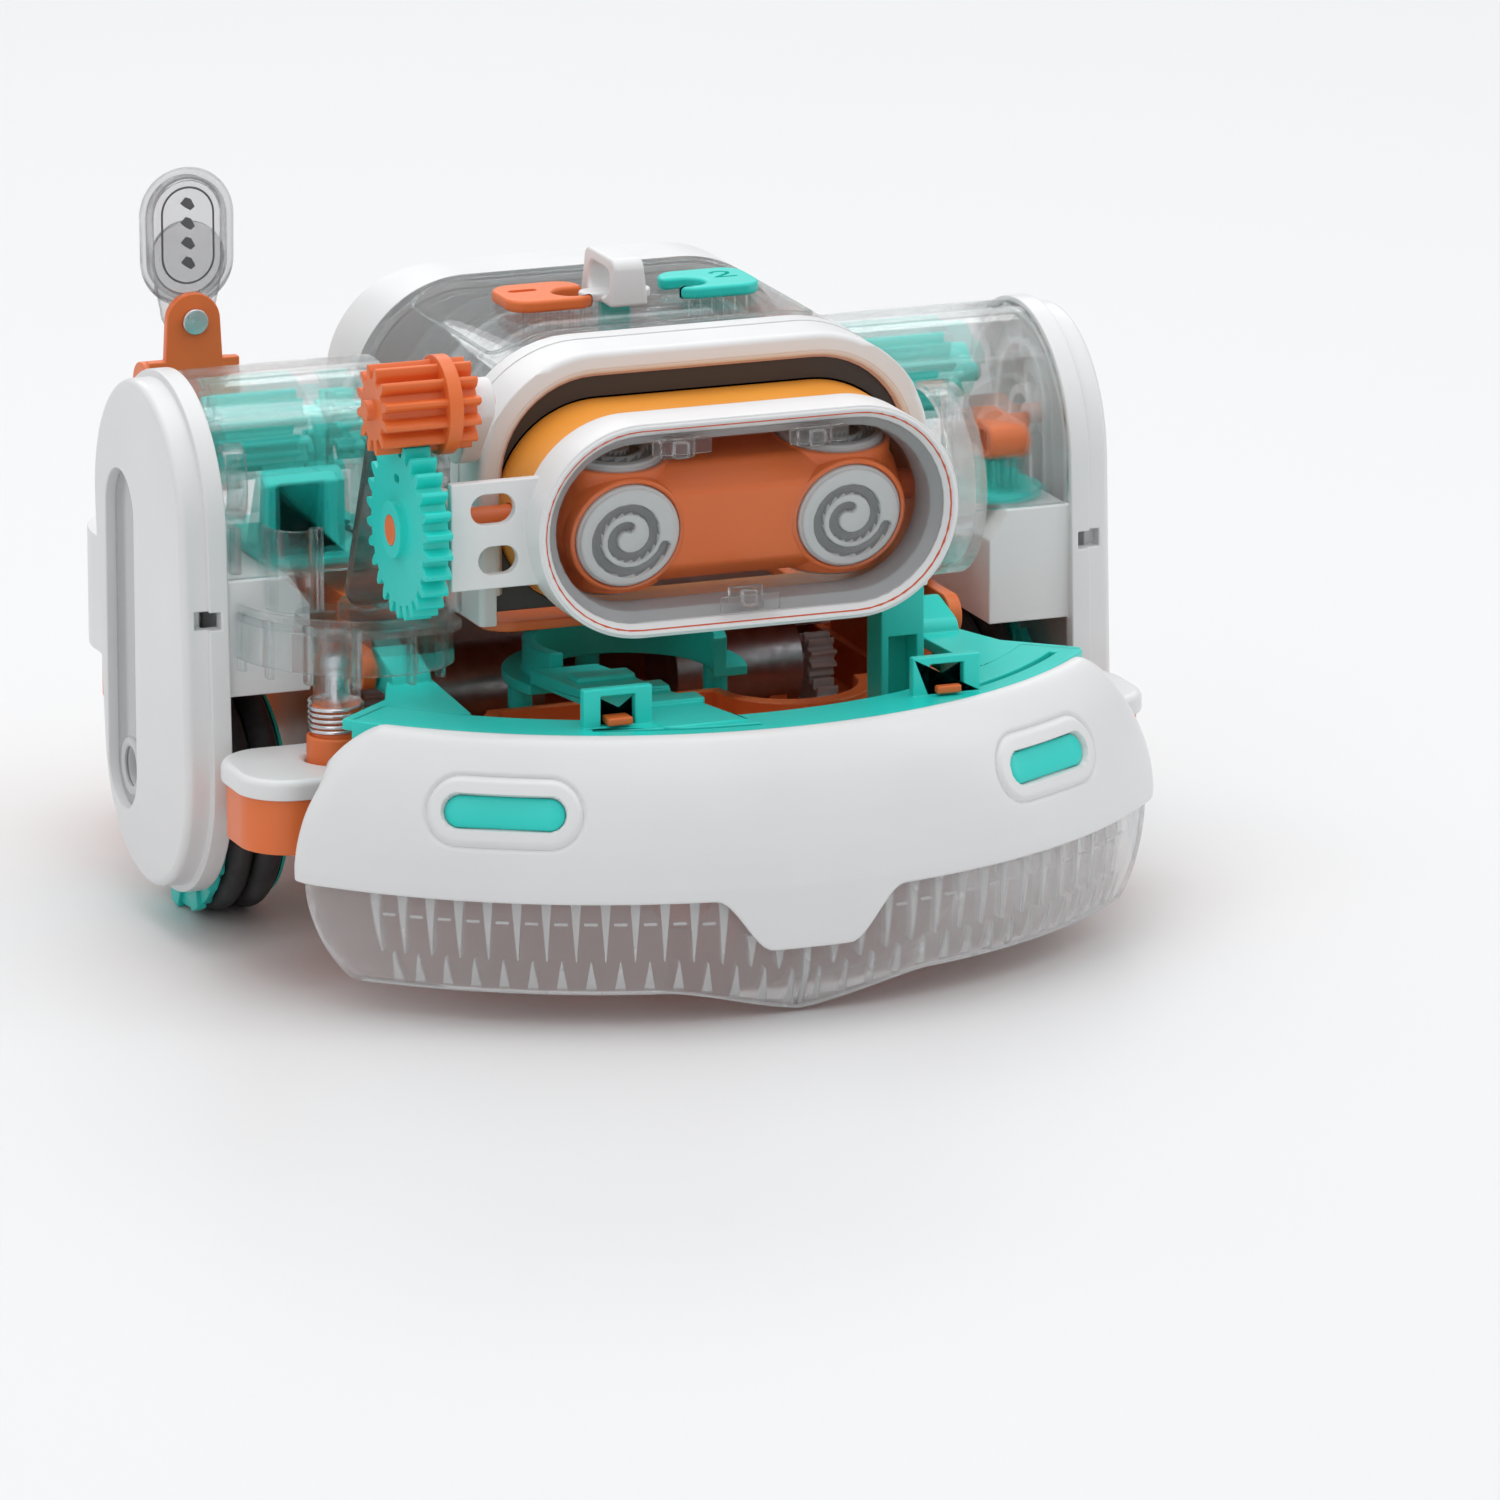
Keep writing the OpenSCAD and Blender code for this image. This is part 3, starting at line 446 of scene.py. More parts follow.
def arc(centre, radius, start, steps, sweep=180):
    """Points along part of a circle, in degrees."""
    points = []
    for k in range(steps + 1):
        a = math.radians(start + sweep * k / steps)
        points.append((centre[0] + radius * math.cos(a), centre[1] + radius * math.sin(a)))
    return points


def spaced(first, last, step):
    """Evenly spaced numbers from first to last, at most step apart."""
    count = max(1, math.ceil(abs(last - first) / step))
    return [first + (last - first) * k / count for k in range(count + 1)]


def curve_through(points, count):
    """Points along a smooth curve through the given ones, count steps in all."""
    size = len(points[0])
    ends = [tuple(2 * points[0][c] - points[1][c] for c in range(size))]
    tail = [tuple(2 * points[-1][c] - points[-2][c] for c in range(size))]
    padded = ends + [tuple(p) for p in points] + tail
    made = []
    for k in range(count + 1):
        place = k * (len(points) - 1) / count
        i = min(int(place), len(points) - 2)
        t = place - i
        a, b, c, d = padded[i:i + 4]
        made.append(tuple(
            0.5 * (2 * b[j] + (c[j] - a[j]) * t + (2 * a[j] - 5 * b[j] + 4 * c[j] - d[j]) * t * t
                   + (3 * b[j] - a[j] - 3 * c[j] + d[j]) * t ** 3)
            for j in range(size)
        ))
    return made


def skin(rows, close_rows=False, close_columns=False, caps=False):
    """A bmesh over rows of points."""
    mesh = bmesh.new()
    made = [[mesh.verts.new(point) for point in points] for points in rows]
    across = len(rows[0])
    for i in range(len(rows) if close_rows else len(rows) - 1):
        near, far = made[i], made[(i + 1) % len(rows)]
        for j in range(across if close_columns else across - 1):
            k = (j + 1) % across
            mesh.faces.new((near[j], near[k], far[k], far[j]))
    if caps:
        mesh.faces.new(made[0])
        mesh.faces.new(made[-1])
    return mesh


def joined(*meshes):
    """One bmesh from several, which are used up."""
    whole = bmesh.new()
    for mesh in meshes:
        data = bpy.data.meshes.new("part")
        mesh.to_mesh(data)
        mesh.free()
        whole.from_mesh(data)
        bpy.data.meshes.remove(data)
    return whole


# Places a point (u, v) of an outline at w along an axis
ALONG = {
    "x": lambda u, v, w: (w, u, v),
    "y": lambda u, v, w: (u, w, v),
    "z": lambda u, v, w: (u, v, w),
}


def prism(outline, low, high, axis="y", edge=0.3, segments=2):
    """Extrudes an outline of (u, v) points along an axis, with rounded edges.
    The outline is (x, z) along y, (y, z) along x and (x, y) along z."""
    rows = [[ALONG[axis](u, v, w) for u, v in outline] for w in (low, high)]
    mesh = skin(rows, close_columns=True, caps=True)
    bmesh.ops.recalc_face_normals(mesh, faces=mesh.faces)
    if edge:
        ease(mesh, edge, segments)
    return mesh


def stadium(centre, width, height, steps=16):
    """Outline of a slot with round ends, longer side first."""
    flat = (width - height) / 2
    right, left = (centre[0] + flat, centre[1]), (centre[0] - flat, centre[1])
    return arc(right, height / 2, -90, steps) + arc(left, height / 2, 90, steps)


def taper_outline(p, rp, q, rq, steps=18):
    """Outline of a rod with round ends of two sizes, q above p."""
    lean = math.degrees(math.atan2(q[1] - p[1], q[0] - p[0]))
    return arc(p, rp, lean + 90, steps) + arc(q, rq, lean - 90, steps)


def rounded_box(low, high, radius, steps=5):
    """Outline of a rectangle with round corners."""
    (x0, y0), (x1, y1) = (low[0] + radius, low[1] + radius), (high[0] - radius, high[1] - radius)
    corners = (((x1, y1), 0), ((x0, y1), 90), ((x0, y0), 180), ((x1, y0), 270))
    return [point for centre, start in corners for point in arc(centre, radius, start, steps, 90)]


def mirrored(mesh, side):
    """The mesh itself for the right side, its mirror image for the left."""
    if side < 0:
        bmesh.ops.transform(mesh, matrix=Matrix.Diagonal((-1, 1, 1, 1)), verts=mesh.verts)
    return mesh


def lathe(profile, centre, steps=48, axis="z"):
    """Turns an (r, h) profile about an axis through centre."""
    rows = [
        [Vector(centre) + Vector(ALONG[axis](r * c, r * s, h)) for c, s in turns(steps)]
        for r, h in profile
    ]
    return skin(rows, close_columns=True, caps=True)


def tube(path, radius, sides=12, closed=False):
    """Round rod along a path of points."""
    points = [Vector(p) for p in path]
    rows = []
    count = len(points)
    side = None
    for i, point in enumerate(points):
        before = points[i - 1] if i or closed else point
        after = points[(i + 1) % count] if i < count - 1 or closed else point
        along = (after - before).normalized()
        if side is None:
            side = along.orthogonal().normalized()
        side = (side - along * side.dot(along)).normalized()
        other = along.cross(side)
        rows.append([point + radius * (c * side + s * other) for c, s in turns(sides)])
    return skin(rows, close_rows=closed, close_columns=True, caps=not closed)


def boolean(mesh, cutter, operation="DIFFERENCE"):
    """Exact boolean of two bmeshes."""
    made = []
    for part in (mesh, cutter):
        bmesh.ops.recalc_face_normals(part, faces=part.faces)
        data = bpy.data.meshes.new("part")
        part.to_mesh(data)
        part.free()
        obj = bpy.data.objects.new("part", data)
        bpy.context.scene.collection.objects.link(obj)
        made.append(obj)
    modifier = made[0].modifiers.new("cut", "BOOLEAN")
    modifier.operation = operation
    modifier.solver = "EXACT"
    modifier.object = made[1]
    result = made[0].evaluated_get(bpy.context.evaluated_depsgraph_get())
    whole = bmesh.new()
    whole.from_mesh(result.to_mesh())
    result.to_mesh_clear()
    for obj in made:
        data = obj.data
        bpy.data.objects.remove(obj)
        bpy.data.meshes.remove(data)
    return whole


# ---------------------------------------------------------------- bumper

BUMPER_CENTRE_Y = -6.4
SHELL_BOX = axle_box("bumper_shell")
BUMPER_R = BUMPER_CENTRE_Y - SHELL_BOX[0].y
SEAM_Z = SHELL_BOX[0].z
SHELL_HALF = math.asin(SHELL_BOX[1].x / BUMPER_R)
SKIRT_Z = 6.0
BEAK_Z = axle_box("bumper_skirt")[0].z
# Length over which the bumper's ends curve inwards
END_REACH = 28.0
LIGHT_ANGLE = math.radians(30.7)
LIGHT_Z = 41.9
TONGUE = (7.9, 19.3, 10.5)
# The shell's outer face from its top lip to the seam: distance from the rim's radius, height
SHELL_FACE = [
    (-14.0, 53.4), (-13.7, 54.5), (-12.4, 55.0), (-10.4, 54.2), (-8.2, 51.8), (-5.5, 47.6),
    (-3.3, 42.4), (-1.8, 37.6), (-0.6, 32.5), (0.0, 27.5),
]


def on_arc(radius, angle, z):
    return row(radius * math.sin(angle), BUMPER_CENTRE_Y - radius * math.cos(angle), z)


def height_on(curve, z):
    """The r of a falling (r, z) curve at a height, or None past its ends."""
    for (r0, z0), (r1, z1) in zip(curve, curve[1:]):
        if z1 <= z <= z0:
            return r0 + (r1 - r0) * ((z0 - z) / max(z0 - z1, 1e-6))
    return None


SHELL_CURVE = curve_through(SHELL_FACE, 90)
SHELL_FLANK = SHELL_CURVE[14:]


def face_at(z):
    """The shell's outer face at a height below its lip: distance from the rim's radius."""
    found = height_on(SHELL_FLANK, z)
    return -0.06 * (27.5 - z) if found is None else found


def turned_in(angle, z):
    """The angle of a point near the bumper's ends, which curve inwards above and below the seam."""
    if z > 28:
        t = (z - 28) / 27
        inset = 3.4 * t + 4.8 * t ** 3
    else:
        inset = 9.0 * ((28 - z) / 22) ** 2.4
    gap = (SHELL_HALF - abs(angle)) * BUMPER_R
    shift = inset * smooth_step(1 - gap / END_REACH) / BUMPER_R
    return math.copysign(abs(angle) - shift, angle)


def light_relief(angle, z):
    """Height of the frame that is moulded round a light, in millimetres."""
    across = BUMPER_R * abs(abs(angle) - LIGHT_ANGLE)
    gap = math.hypot(max(across - 9.0, 0.0), (z - LIGHT_Z) * 1.06)
    recess = -1.5 * smooth_step((3.45 - gap) / 0.35)
    ring = 0.28 * smooth_step((6.2 - gap) / 0.5) * smooth_step((gap - 3.2) / 0.3)
    groove = -0.55 * math.exp(-((gap - 6.75) / 0.38) ** 2)
    return recess + ring + groove


def seam_drop(angle):
    """How far the shell's lower edge dips at the middle, as a tongue with soft corners."""
    low, high, depth = TONGUE
    return depth * smooth_step((high - BUMPER_R * abs(math.sin(angle))) / (high - low))


def nose(gap, reach):
    """Share of the thickness left at a distance from a rounded end."""
    if gap >= reach:
        return 1.0
    return math.sqrt(max(1 - (1 - gap / reach) ** 2, 0.02))


def shell_angles():
    """Angles of the shell's sections, close together at the lights and at the ends."""
    fine = math.radians(9.6)
    stops = [
        (0.0, LIGHT_ANGLE - fine, 0.011), (LIGHT_ANGLE - fine, LIGHT_ANGLE + fine, 0.0026),
        (LIGHT_ANGLE + fine, SHELL_HALF - 0.09, 0.011), (SHELL_HALF - 0.09, SHELL_HALF, 0.004),
    ]
    half = []
    for low, high, step in stops:
        half += spaced(low, high, step)[:-1]
    half.append(SHELL_HALF)
    return [-a for a in reversed(half[1:])] + half


def bumper_shell():
    """White shell: rounded lip, sloping face with the lights' frames, tongue and turned-in ends."""
    face = SHELL_CURVE[:28:2] + [p for p in SHELL_CURVE[28:] if p[1] > 49.8]
    face += [(None, z) for z in spaced(49.6, 34.2, 0.32)]
    face += [(None, z) for z in spaced(33.0, 27.6, 1.1)]
    inner_face = [(-3.1, 33.0), (-7.0, 44.6), (-12.0, 51.8), (-13.9, 52.4)]
    rows = []
    for angle in shell_angles():
        end = 1 - nose((SHELL_HALF - abs(angle)) * BUMPER_R, 10.0)
        bullnose = nose((SHELL_HALF - abs(angle)) * BUMPER_R, 6.5)
        low = SEAM_Z - seam_drop(angle)
        points = []
        for r, z in face:
            base = face_at(z) if r is None else r
            lift = light_relief(angle, z) if r is None else 0.0
            points.append((base + lift, z + lift * 0.3))
        for z in [27.0 - (27.0 - low - 0.5) * k / 8 for k in range(9)]:
            points.append((-0.06 * (27.5 - z), z))
        points.append((-0.06 * (27.5 - low) - 0.12, low + 0.14))
        points.append((-0.06 * (27.5 - low) - 0.5, low))
        points.append((-1.25, low + 0.1))
        for z in [low + 0.6 + (27.0 - low - 0.6) * k / 5 for k in range(6)]:
            points.append((-1.3 - 0.08 * max(z - 22, 0), z))
        points += inner_face
        ring = []
        for r, z in points:
            inside = -2.6 - 5.0 * smooth_step((z - 30) / 20)
            r = inside + (r - inside) * bullnose
            z = z - end * 8.5 * smooth_step((z - 36) / 18.0)
            ring.append(on_arc(BUMPER_R + r, turned_in(angle, z), z))
        rows.append(ring)
    mesh = skin(rows, close_columns=True, caps=True)
    piece("bumper_shell_satin", mesh, "bumper", "white_plastic", replaces=["bumper_shell"], smooth_angle=50)


def bumper_light(side):
    """Domed lens that sits down in its frame on the shell."""
    levels = [(0.0, -1.5), (0.0, -1.0), (0.12, -0.75), (0.4, -0.6), (1.0, -0.52), (2.0, -0.48), (2.9, -0.46)]
    rows = []
    for inset, lift in levels:
        ring = []
        for across, up in stadium((0, 0), 24.2 - 2 * inset, 6.2 - 2 * inset):
            angle = side * LIGHT_ANGLE + across / BUMPER_R
            z = LIGHT_Z + up / 1.06
            ring.append(on_arc(BUMPER_R + face_at(z) + lift, angle, z + lift * 0.3))
        rows.append(ring)
    return skin(rows, close_columns=True, caps=True)


def bumper_lights():
    mesh = joined(bumper_light(-1), bumper_light(1))
    piece("bumper_light_lenses", mesh, "bumper", "teal_plastic", replaces=["bumper_lights"])


SKIRT_FACE = [(-1.7, 26.0), (-1.75, 21.0), (-2.2, 15.5), (-3.1, 10.0), (-4.5, 6.0), (-7.4, 0.6)]


def skirt_low(angle):
    """Height of the skirt's lower edge, which runs down to a pointed beak in the middle."""
    across = BUMPER_R * abs(math.sin(angle))
    t = min(across / 27.0, 1.0)
    return BEAK_Z + (SKIRT_Z - BEAK_Z) * (0.55 * t + 0.45 * smooth_step(t))


def bumper_skirt():
    """Clear apron under the shell, with a bar down its middle."""
    half = SHELL_HALF - 0.012
    rows = []
    for angle in spaced(-half, half, 0.006):
        low = skirt_low(angle)
        thin = nose((half - abs(angle)) * BUMPER_R, 4.0)
        bar = 1.6 * smooth_step((0.9 - abs(angle) * BUMPER_R) / 0.3 + 0.5)
        outer = []
        for k in range(15):
            z = 25.6 + (low + 0.5 - 25.6) * k / 14
            outer.append((skirt_face(z), z))
        foot = skirt_face(low)
        edge = [(foot - 0.2, low + 0.12), (foot - 0.75, low), (foot - 1.3, low + 0.14)]
        inner = [(r - 1.5 - bar, z) for r, z in reversed(outer)]
        ring = []
        for r, z in outer + edge + inner:
            inside = skirt_face(z) - 2.2
            ring.append(on_arc(BUMPER_R + inside + (r - inside) * thin, turned_in(angle, z), z))
        rows.append(ring)
    mesh = skin(rows, close_columns=True, caps=True)
    piece("bumper_skirt_apron", mesh, "bumper", "clear_plastic", SKIRT_CLEAR,
          replaces=["bumper_skirt"], smooth_angle=50)


def skirt_wedge(angle, low, high, wide_low, wide_high, depth=1.9):
    """Tapering rib on the inner side of the apron, from one height and width to another."""
    rows = []
    for k in range(9):
        t = k / 8
        z = low + (high - low) * t
        half = (wide_low + (wide_high - wide_low) * t) / 2 / BUMPER_R
        outer = BUMPER_R + skirt_face(z) - 1.45
        inner = outer - depth
        rows.append([
            on_arc(r, turned_in(angle, z) + side * half, z)
            for r, side in ((outer, -1), (outer, 1), (inner, 0.7), (inner, -0.7))
        ])
    return skin(rows, close_columns=True, caps=True)


def skirt_ribs():
    """Long wedges from the seam, short ones from the lower edge between them, and a dashed bar; then a white
    bead along the lower edge as a painted highlight.
    """
    pitch = 5.8 / BUMPER_R
    count = int((SHELL_HALF - 0.12) / pitch)
    parts = []
    for k in range(-count, count + 1):
        angle = k * pitch
        low = skirt_low(angle)
        reach = 25.2 - low
        if k:
            top = 25.2 - seam_drop(angle)
            parts.append(skirt_wedge(angle, low + 0.36 * reach, top, 0.2, 2.1))
        between = angle + pitch / 2
        low = skirt_low(between)
        parts.append(skirt_wedge(between, low + 1.2, low + 0.36 * (25.2 - low), 2.2, 0.15, 1.2))
        if seam_drop(between) < 0.5:
            dash = low + 0.74 * (25.2 - low)
            parts.append(skirt_wedge(between, dash, dash + 0.5, 2.6, 2.6, 0.5))
    parts.append(skirt_wedge(0.0, BEAK_Z + 1.0, 13.8, 1.0, 1.5, 2.4))
    piece("bumper_skirt_ribs", joined(*parts), "bumper", "clear_plastic", RIB_WHITE_AND_GLINT)
    # Painted highlight: a white bead inside the apron's lower edge for the bright line that edge catches
    edge = []
    for angle in spaced(-SHELL_HALF + 0.05, SHELL_HALF - 0.05, 0.01):
        low = skirt_low(angle)
        edge.append(on_arc(BUMPER_R + skirt_face(low) - 0.75, turned_in(angle, low), low + 0.4))
    piece("bumper_skirt_edge_glint", tube(edge, 0.00034, 8), "bumper", "clear_plastic", RIB_WHITE_AND_GLINT)


SKIRT_CURVE = curve_through(SKIRT_FACE, 60)


def skirt_face(z):
    """The apron's outer face at a height: distance from the rim's radius."""
    found = height_on(SKIRT_CURVE, z)
    return SKIRT_CURVE[-1][0] if found is None else found


# ---------------------------------------------------------------- face drum

DRUM_AXIS = middle("drum_gear")
DRUM_AT = Vector((0, DRUM_AXIS.y / MM - AXLE_Y, DRUM_AXIS.z / MM))
DRUM_TILT = 10.0
DRUM_HALF = 12.3
DRUM_END = 37.5
EYE_X = 22.7
EYE_R = 10.4
EYE_TOP = 1.25


def on_drum(mesh, quarter=0):
    """Moves a mesh from the drum's own axes to its place, on one of its four faces."""
    turn = Matrix.Rotation(math.radians(DRUM_TILT + 90 * quarter), 4, "X")
    bmesh.ops.transform(mesh, matrix=Matrix.Translation(DRUM_AT) @ turn, verts=mesh.verts)
    return mesh


def drum_section(x):
    """Square with chamfered corners, which shrinks into the drum's round ends."""
    straight = DRUM_END - 12.0
    over = max(abs(x) - straight, 0.0)
    half = math.sqrt(max(12.0 ** 2 - over ** 2, 0.0)) + (DRUM_HALF - 12.0)
    cut = min(4.6, half * 0.8)
    soft = cut * 0.16
    corner = [(half, half - cut - soft), (half - soft * 0.3, half - cut), (half - soft, half - cut + soft)]
    corner += [(v, u) for u, v in reversed(corner)]
    points = []
    for quarter in range(4):
        for u, v in corner:
            for _ in range(quarter):
                u, v = -v, u
            points.append((x, u, v))
    return points


def drum_body():
    """Drum with a raised rim and a seat for each disc, and its shaft ends."""
    straight = DRUM_END - 12.0
    ends = [straight + 12.0 * math.sin(math.radians(90 * k / 14)) for k in range(15)]
    stations = [-x for x in reversed(ends)] + spaced(-straight, straight, 6.0)[1:-1] + ends
    mesh = skin([drum_section(x) for x in stations], close_columns=True, caps=True)
    rim = [(EYE_R + grow, DRUM_HALF + h) for grow, h in (
        (1.3, -7.0), (1.3, -0.1), (1.15, 0.12), (0.75, 0.3), (0.35, 0.12), (0.3, -0.7),
    )]
    seat = [(EYE_R + 0.3, DRUM_HALF - 0.7), (EYE_R + 0.3, DRUM_HALF + 1.5)]
    for quarter in range(4):
        turn = Matrix.Rotation(math.radians(90 * quarter), 4, "X")
        for side in (-1, 1):
            for profile, operation in ((rim, "UNION"), (seat, "DIFFERENCE")):
                tool = lathe(profile, (side * EYE_X, 0, 0), 56)
                bmesh.ops.transform(tool, matrix=turn, verts=tool.verts)
                mesh = boolean(mesh, tool, operation)
    shaft = joined(lathe([(2.95, -66.5), (2.95, -37.0)], (0, 0, 0), 40, "x"),
                   lathe([(2.95, 37.0), (2.95, 41.8)], (0, 0, 0), 40, "x"))
    whole = joined(mesh, shaft)
    piece("face_drum_body", to_frame(on_drum(whole)), "face_drum", "orange_plastic",
          replaces=["drum_body"], smooth_angle=38)


def spiral_gap(u, v):
    """Distance from a point of an eye to the middle of its spiral groove."""
    return math.sqrt(min((u - px) ** 2 + (v - py) ** 2 for px, py in SPIRAL))


def spiral_points():
    """Middle line of the groove, from its inner end outwards."""
    points = []
    for k in range(150):
        t = k / 149
        a = math.radians(90 + 612 * t)
        r = 2.0 + 5.8 * t ** 0.8
        points.append((r * math.cos(a), r * math.sin(a)))
    return points


SPIRAL = spiral_points()


def eye_rows():
    """Disc with a stepped, rounded edge and a sunk spiral."""
    side = [(EYE_R, -0.7), (EYE_R, 0.35), (EYE_R - 0.15, 0.6), (EYE_R - 0.45, 0.72), (EYE_R - 0.5, 1.0),
            (EYE_R - 0.62, 1.18), (EYE_R - 0.85, EYE_TOP)]
    around = turns(180)
    made = [[(r * c, r * s, h) for c, s in around] for r, h in side]
    for r in spaced(EYE_R - 1.1, 0.2, 0.18):
        made.append([
            (r * c, r * s, EYE_TOP - 1.15 * smooth_step((1.12 - spiral_gap(r * c, r * s)) / 0.26))
            for c, s in around
        ])
    return made


def eye_discs():
    """Two discs on each of the drum's four faces, with shade painted dark grey into their grooves."""
    rows = eye_rows()
    discs = []
    for quarter in range(4):
        for side in (-1, 1):
            placed_rows = [[(u + side * EYE_X, v, h + DRUM_HALF) for u, v, h in ring] for ring in rows]
            disc = skin(placed_rows, close_columns=True, caps=True)
            for face in disc.faces:
                at = face.calc_center_median()
                # Faces sunk in the spiral groove take the second material: the groove's shade, painted dark
                # grey
                sunk = at.z < DRUM_HALF + EYE_TOP - 0.55
                face.material_index = int(sunk and math.hypot(at.x - side * EYE_X, at.y) < EYE_R - 1.3)
            discs.append(on_drum(disc, quarter))
    piece("eye_discs_spiral", to_frame(joined(*discs)), "face_drum", "grey_plastic", EYE_GREY,
          replaces=["eye_discs"], smooth_angle=42, shade_material=EYE_GROOVE_SHADE)


# ---------------------------------------------------------------- top slide

HOOD_TOP = axle_box("mode_pad_1")[0].z
KNOB_BOX = axle_box("slide_knob")
KNOB_X = (KNOB_BOX[0].x + KNOB_BOX[1].x) / 2
KNOB_Y = (KNOB_BOX[0].y + KNOB_BOX[1].y) / 2


def slide_knob():
    """Bridge to push with a fingertip: an arch with flared feet on a tongue, and a stem below."""
    base = HOOD_TOP + 0.35
    top = KNOB_BOX[1].z
    front, back = KNOB_BOX[0].y, KNOB_BOX[1].y
    arch = [(front, base), (front, top - 2.2)] + arc((front + 2.4, top - 2.4), 2.4, 165, 5, -75)
    arch += arc((back - 2.4, top - 2.4), 2.4, 90, 6, -90) + [(back, base)]
    hole = rounded_box((front + 2.9, base + 1.5), (back - 2.9, top - 2.5), 2.2)
    body = prism(arch, KNOB_X - 3.2, KNOB_X + 3.2, "x", edge=0)
    body = boolean(body, prism(hole, KNOB_X - 6, KNOB_X + 6, "x", edge=0))
    ease(body, 0.7, 4)
    for vert in body.verts:
        flare = 1.0 + 0.25 * smooth_step((base + 3.4 - vert.co.z) / 3.4)
        vert.co.x = KNOB_X + (vert.co.x - KNOB_X) * flare
    tongue = prism(stadium((KNOB_X, KNOB_Y), 14.6, 5.6), base + 0.1, base + 1.9, "z", 0.45, 3)
    piece("slide_knob_bridge", to_frame(joined(body, tongue)), "knob", "white_plastic",
          replaces=["slide_knob"])
    stem = prism(rounded_box((KNOB_X - 3, KNOB_Y - 1.5), (KNOB_X + 3, KNOB_Y + 1.5), 0.6),
                 HOOD_TOP - 12, base + 0.3, "z", edge=0)
    piece("slide_knob_stem", to_frame(stem), "knob", "teal_plastic")


def digit_strokes(number):
    """Plain digits as strokes, read from the front."""
    if number == 1:
        return [((-2.0, 0.0), (2.0, 0.0), 0.95)]
    path = [(-1.9, 1.4), (-1.1, 2.3), (0.6, 2.4), (1.6, 1.5), (1.2, 0.3), (-2.0, -2.3), (2.0, -2.3)]
    return [(p, q, 0.42) for p, q in zip(path, path[1:])]


def mode_pad(node, number, facing):
    """Soft pad with its slot and digit, on a row of clear pins."""
    low, high = axle_box(node)
    x, y = (low.x + high.x) / 2, (low.y + high.y) / 2
    top = high.z + 0.9
    body = prism(rounded_box((low.x, low.y), (high.x, high.y), 4.6, 8), low.z, top, "z", edge=0)
    notch = stadium((x + facing * 9, KNOB_Y), 15, 7.4)
    body = boolean(body, prism(notch, low.z - 1, top + 1, "z", edge=0))
    ease(body, 0.75, 4)
    at = (x - facing * 3.6, y + 1.6)
    for p, q, half in digit_strokes(number):
        stroke = taper_outline((at[0] + p[0], at[1] + p[1]), half, (at[0] + q[0], at[1] + q[1]), half, 6)
        body = boolean(body, prism(stroke, top - 0.8, top + 1, "z", edge=0))
    slot = "orange_plastic" if number == 1 else "teal_plastic"
    piece(node + "_soft", to_frame(body), "chassis", slot, replaces=[node])
    pins = [
        lathe([(0.42, low.z - 4.4), (0.55, low.z)], (low.x + 3 + 2.4 * k, low.y + 1.6, 0), 12)
        for k in range(6)
    ]
    piece(node + "_pins", to_frame(joined(*pins)), "chassis", "clear_plastic")


# ---------------------------------------------------------------- face bezel

RING_BOX = axle_box("face_ring")
RING_FRONT = RING_BOX[0].y


def stadium_ring(levels, steps=20):
    """Closed ring with round ends: each level is (width, height, y)."""
    rows = []
    for width, height, y in levels:
        outline = stadium((0, DRUM_AT.z), width, height, steps)
        rows.append([(x, y, z) for x, z in outline])
    return skin(rows, close_rows=True, close_columns=True)


def face_bezel_details():
    """Slim lip, a red line painted for the drum's colour refracted in the lens's edge, slanted grey wall and
    the pane behind it, in the CAD's ring.
    """
    front = RING_FRONT
    cone = skin([
        [(x, y, z) for x, z in stadium((0, DRUM_AT.z), width, height, 24)]
        for width, height, y in ((84.2, 40.2, front - 1.0), (83.2, 39.2, front), (77.9, 33.9, front + 2.9))
    ], close_columns=True, caps=True)
    ring = boolean(cad_mesh("face_ring"), cone)
    ease(ring, 0.3, 2)
    piece("face_ring_moulded", to_frame(ring), "chassis", "white_plastic", replaces=["face_ring"])
    slant = stadium_ring([
        (82.7, 38.7, front + 0.45), (82.9, 38.9, front + 0.75),
        (77.7, 33.7, front + 3.5), (76.7, 32.7, front + 3.5),
    ])
    wall = stadium_ring([
        (79.0, 35.0, front + 3.6), (76.7, 32.7, front + 3.6),
        (75.8, 31.8, front + 9.8), (79.0, 35.0, front + 9.8),
    ])
    piece("bezel_inner_wall", to_frame(joined(slant, wall)), "chassis", "grey_plastic", BEZEL_GREY,
          smooth_angle=60)
    # Painted reflection: a red line for the orange drum refracted round the lens's edge
    line = stadium_ring([
        (83.5, 39.5, front + 0.05), (82.7, 38.7, front + 0.12),
        (82.7, 38.7, front + 0.7), (83.5, 39.5, front + 0.7),
    ])
    piece("bezel_refracted_red_line", to_frame(line), "chassis", "orange_plastic", REFRACTED_RED)
    bead = stadium_ring([
        (85.3, 41.3, front + 0.15), (85.0, 41.0, front - 0.2), (84.5, 40.5, front - 0.32),
        (83.9, 39.9, front - 0.25), (83.5, 39.5, front + 0.0), (83.4, 39.4, front + 0.5),
    ])
    piece("bezel_lip", to_frame(bead), "chassis", "white_plastic", smooth_angle=60)
    pane = prism(stadium((0, DRUM_AT.z), 80.4, 36.4, 24), front + 0.7, front + 1.4, "y", edge=0.15)
    piece("face_window", to_frame(pane), "chassis", "clear_plastic", LENS_CLEAR, replaces=["face_lens"])
    clips = []
    for x, side in ((-14, 1), (14, 1), (0, -1)):
        clips += snap_clip(x, side, front)
    piece("lens_snap_clips", to_frame(joined(*clips)), "chassis", "clear_plastic", CLIP_CLEAR,
          replaces=["lens_clips"])


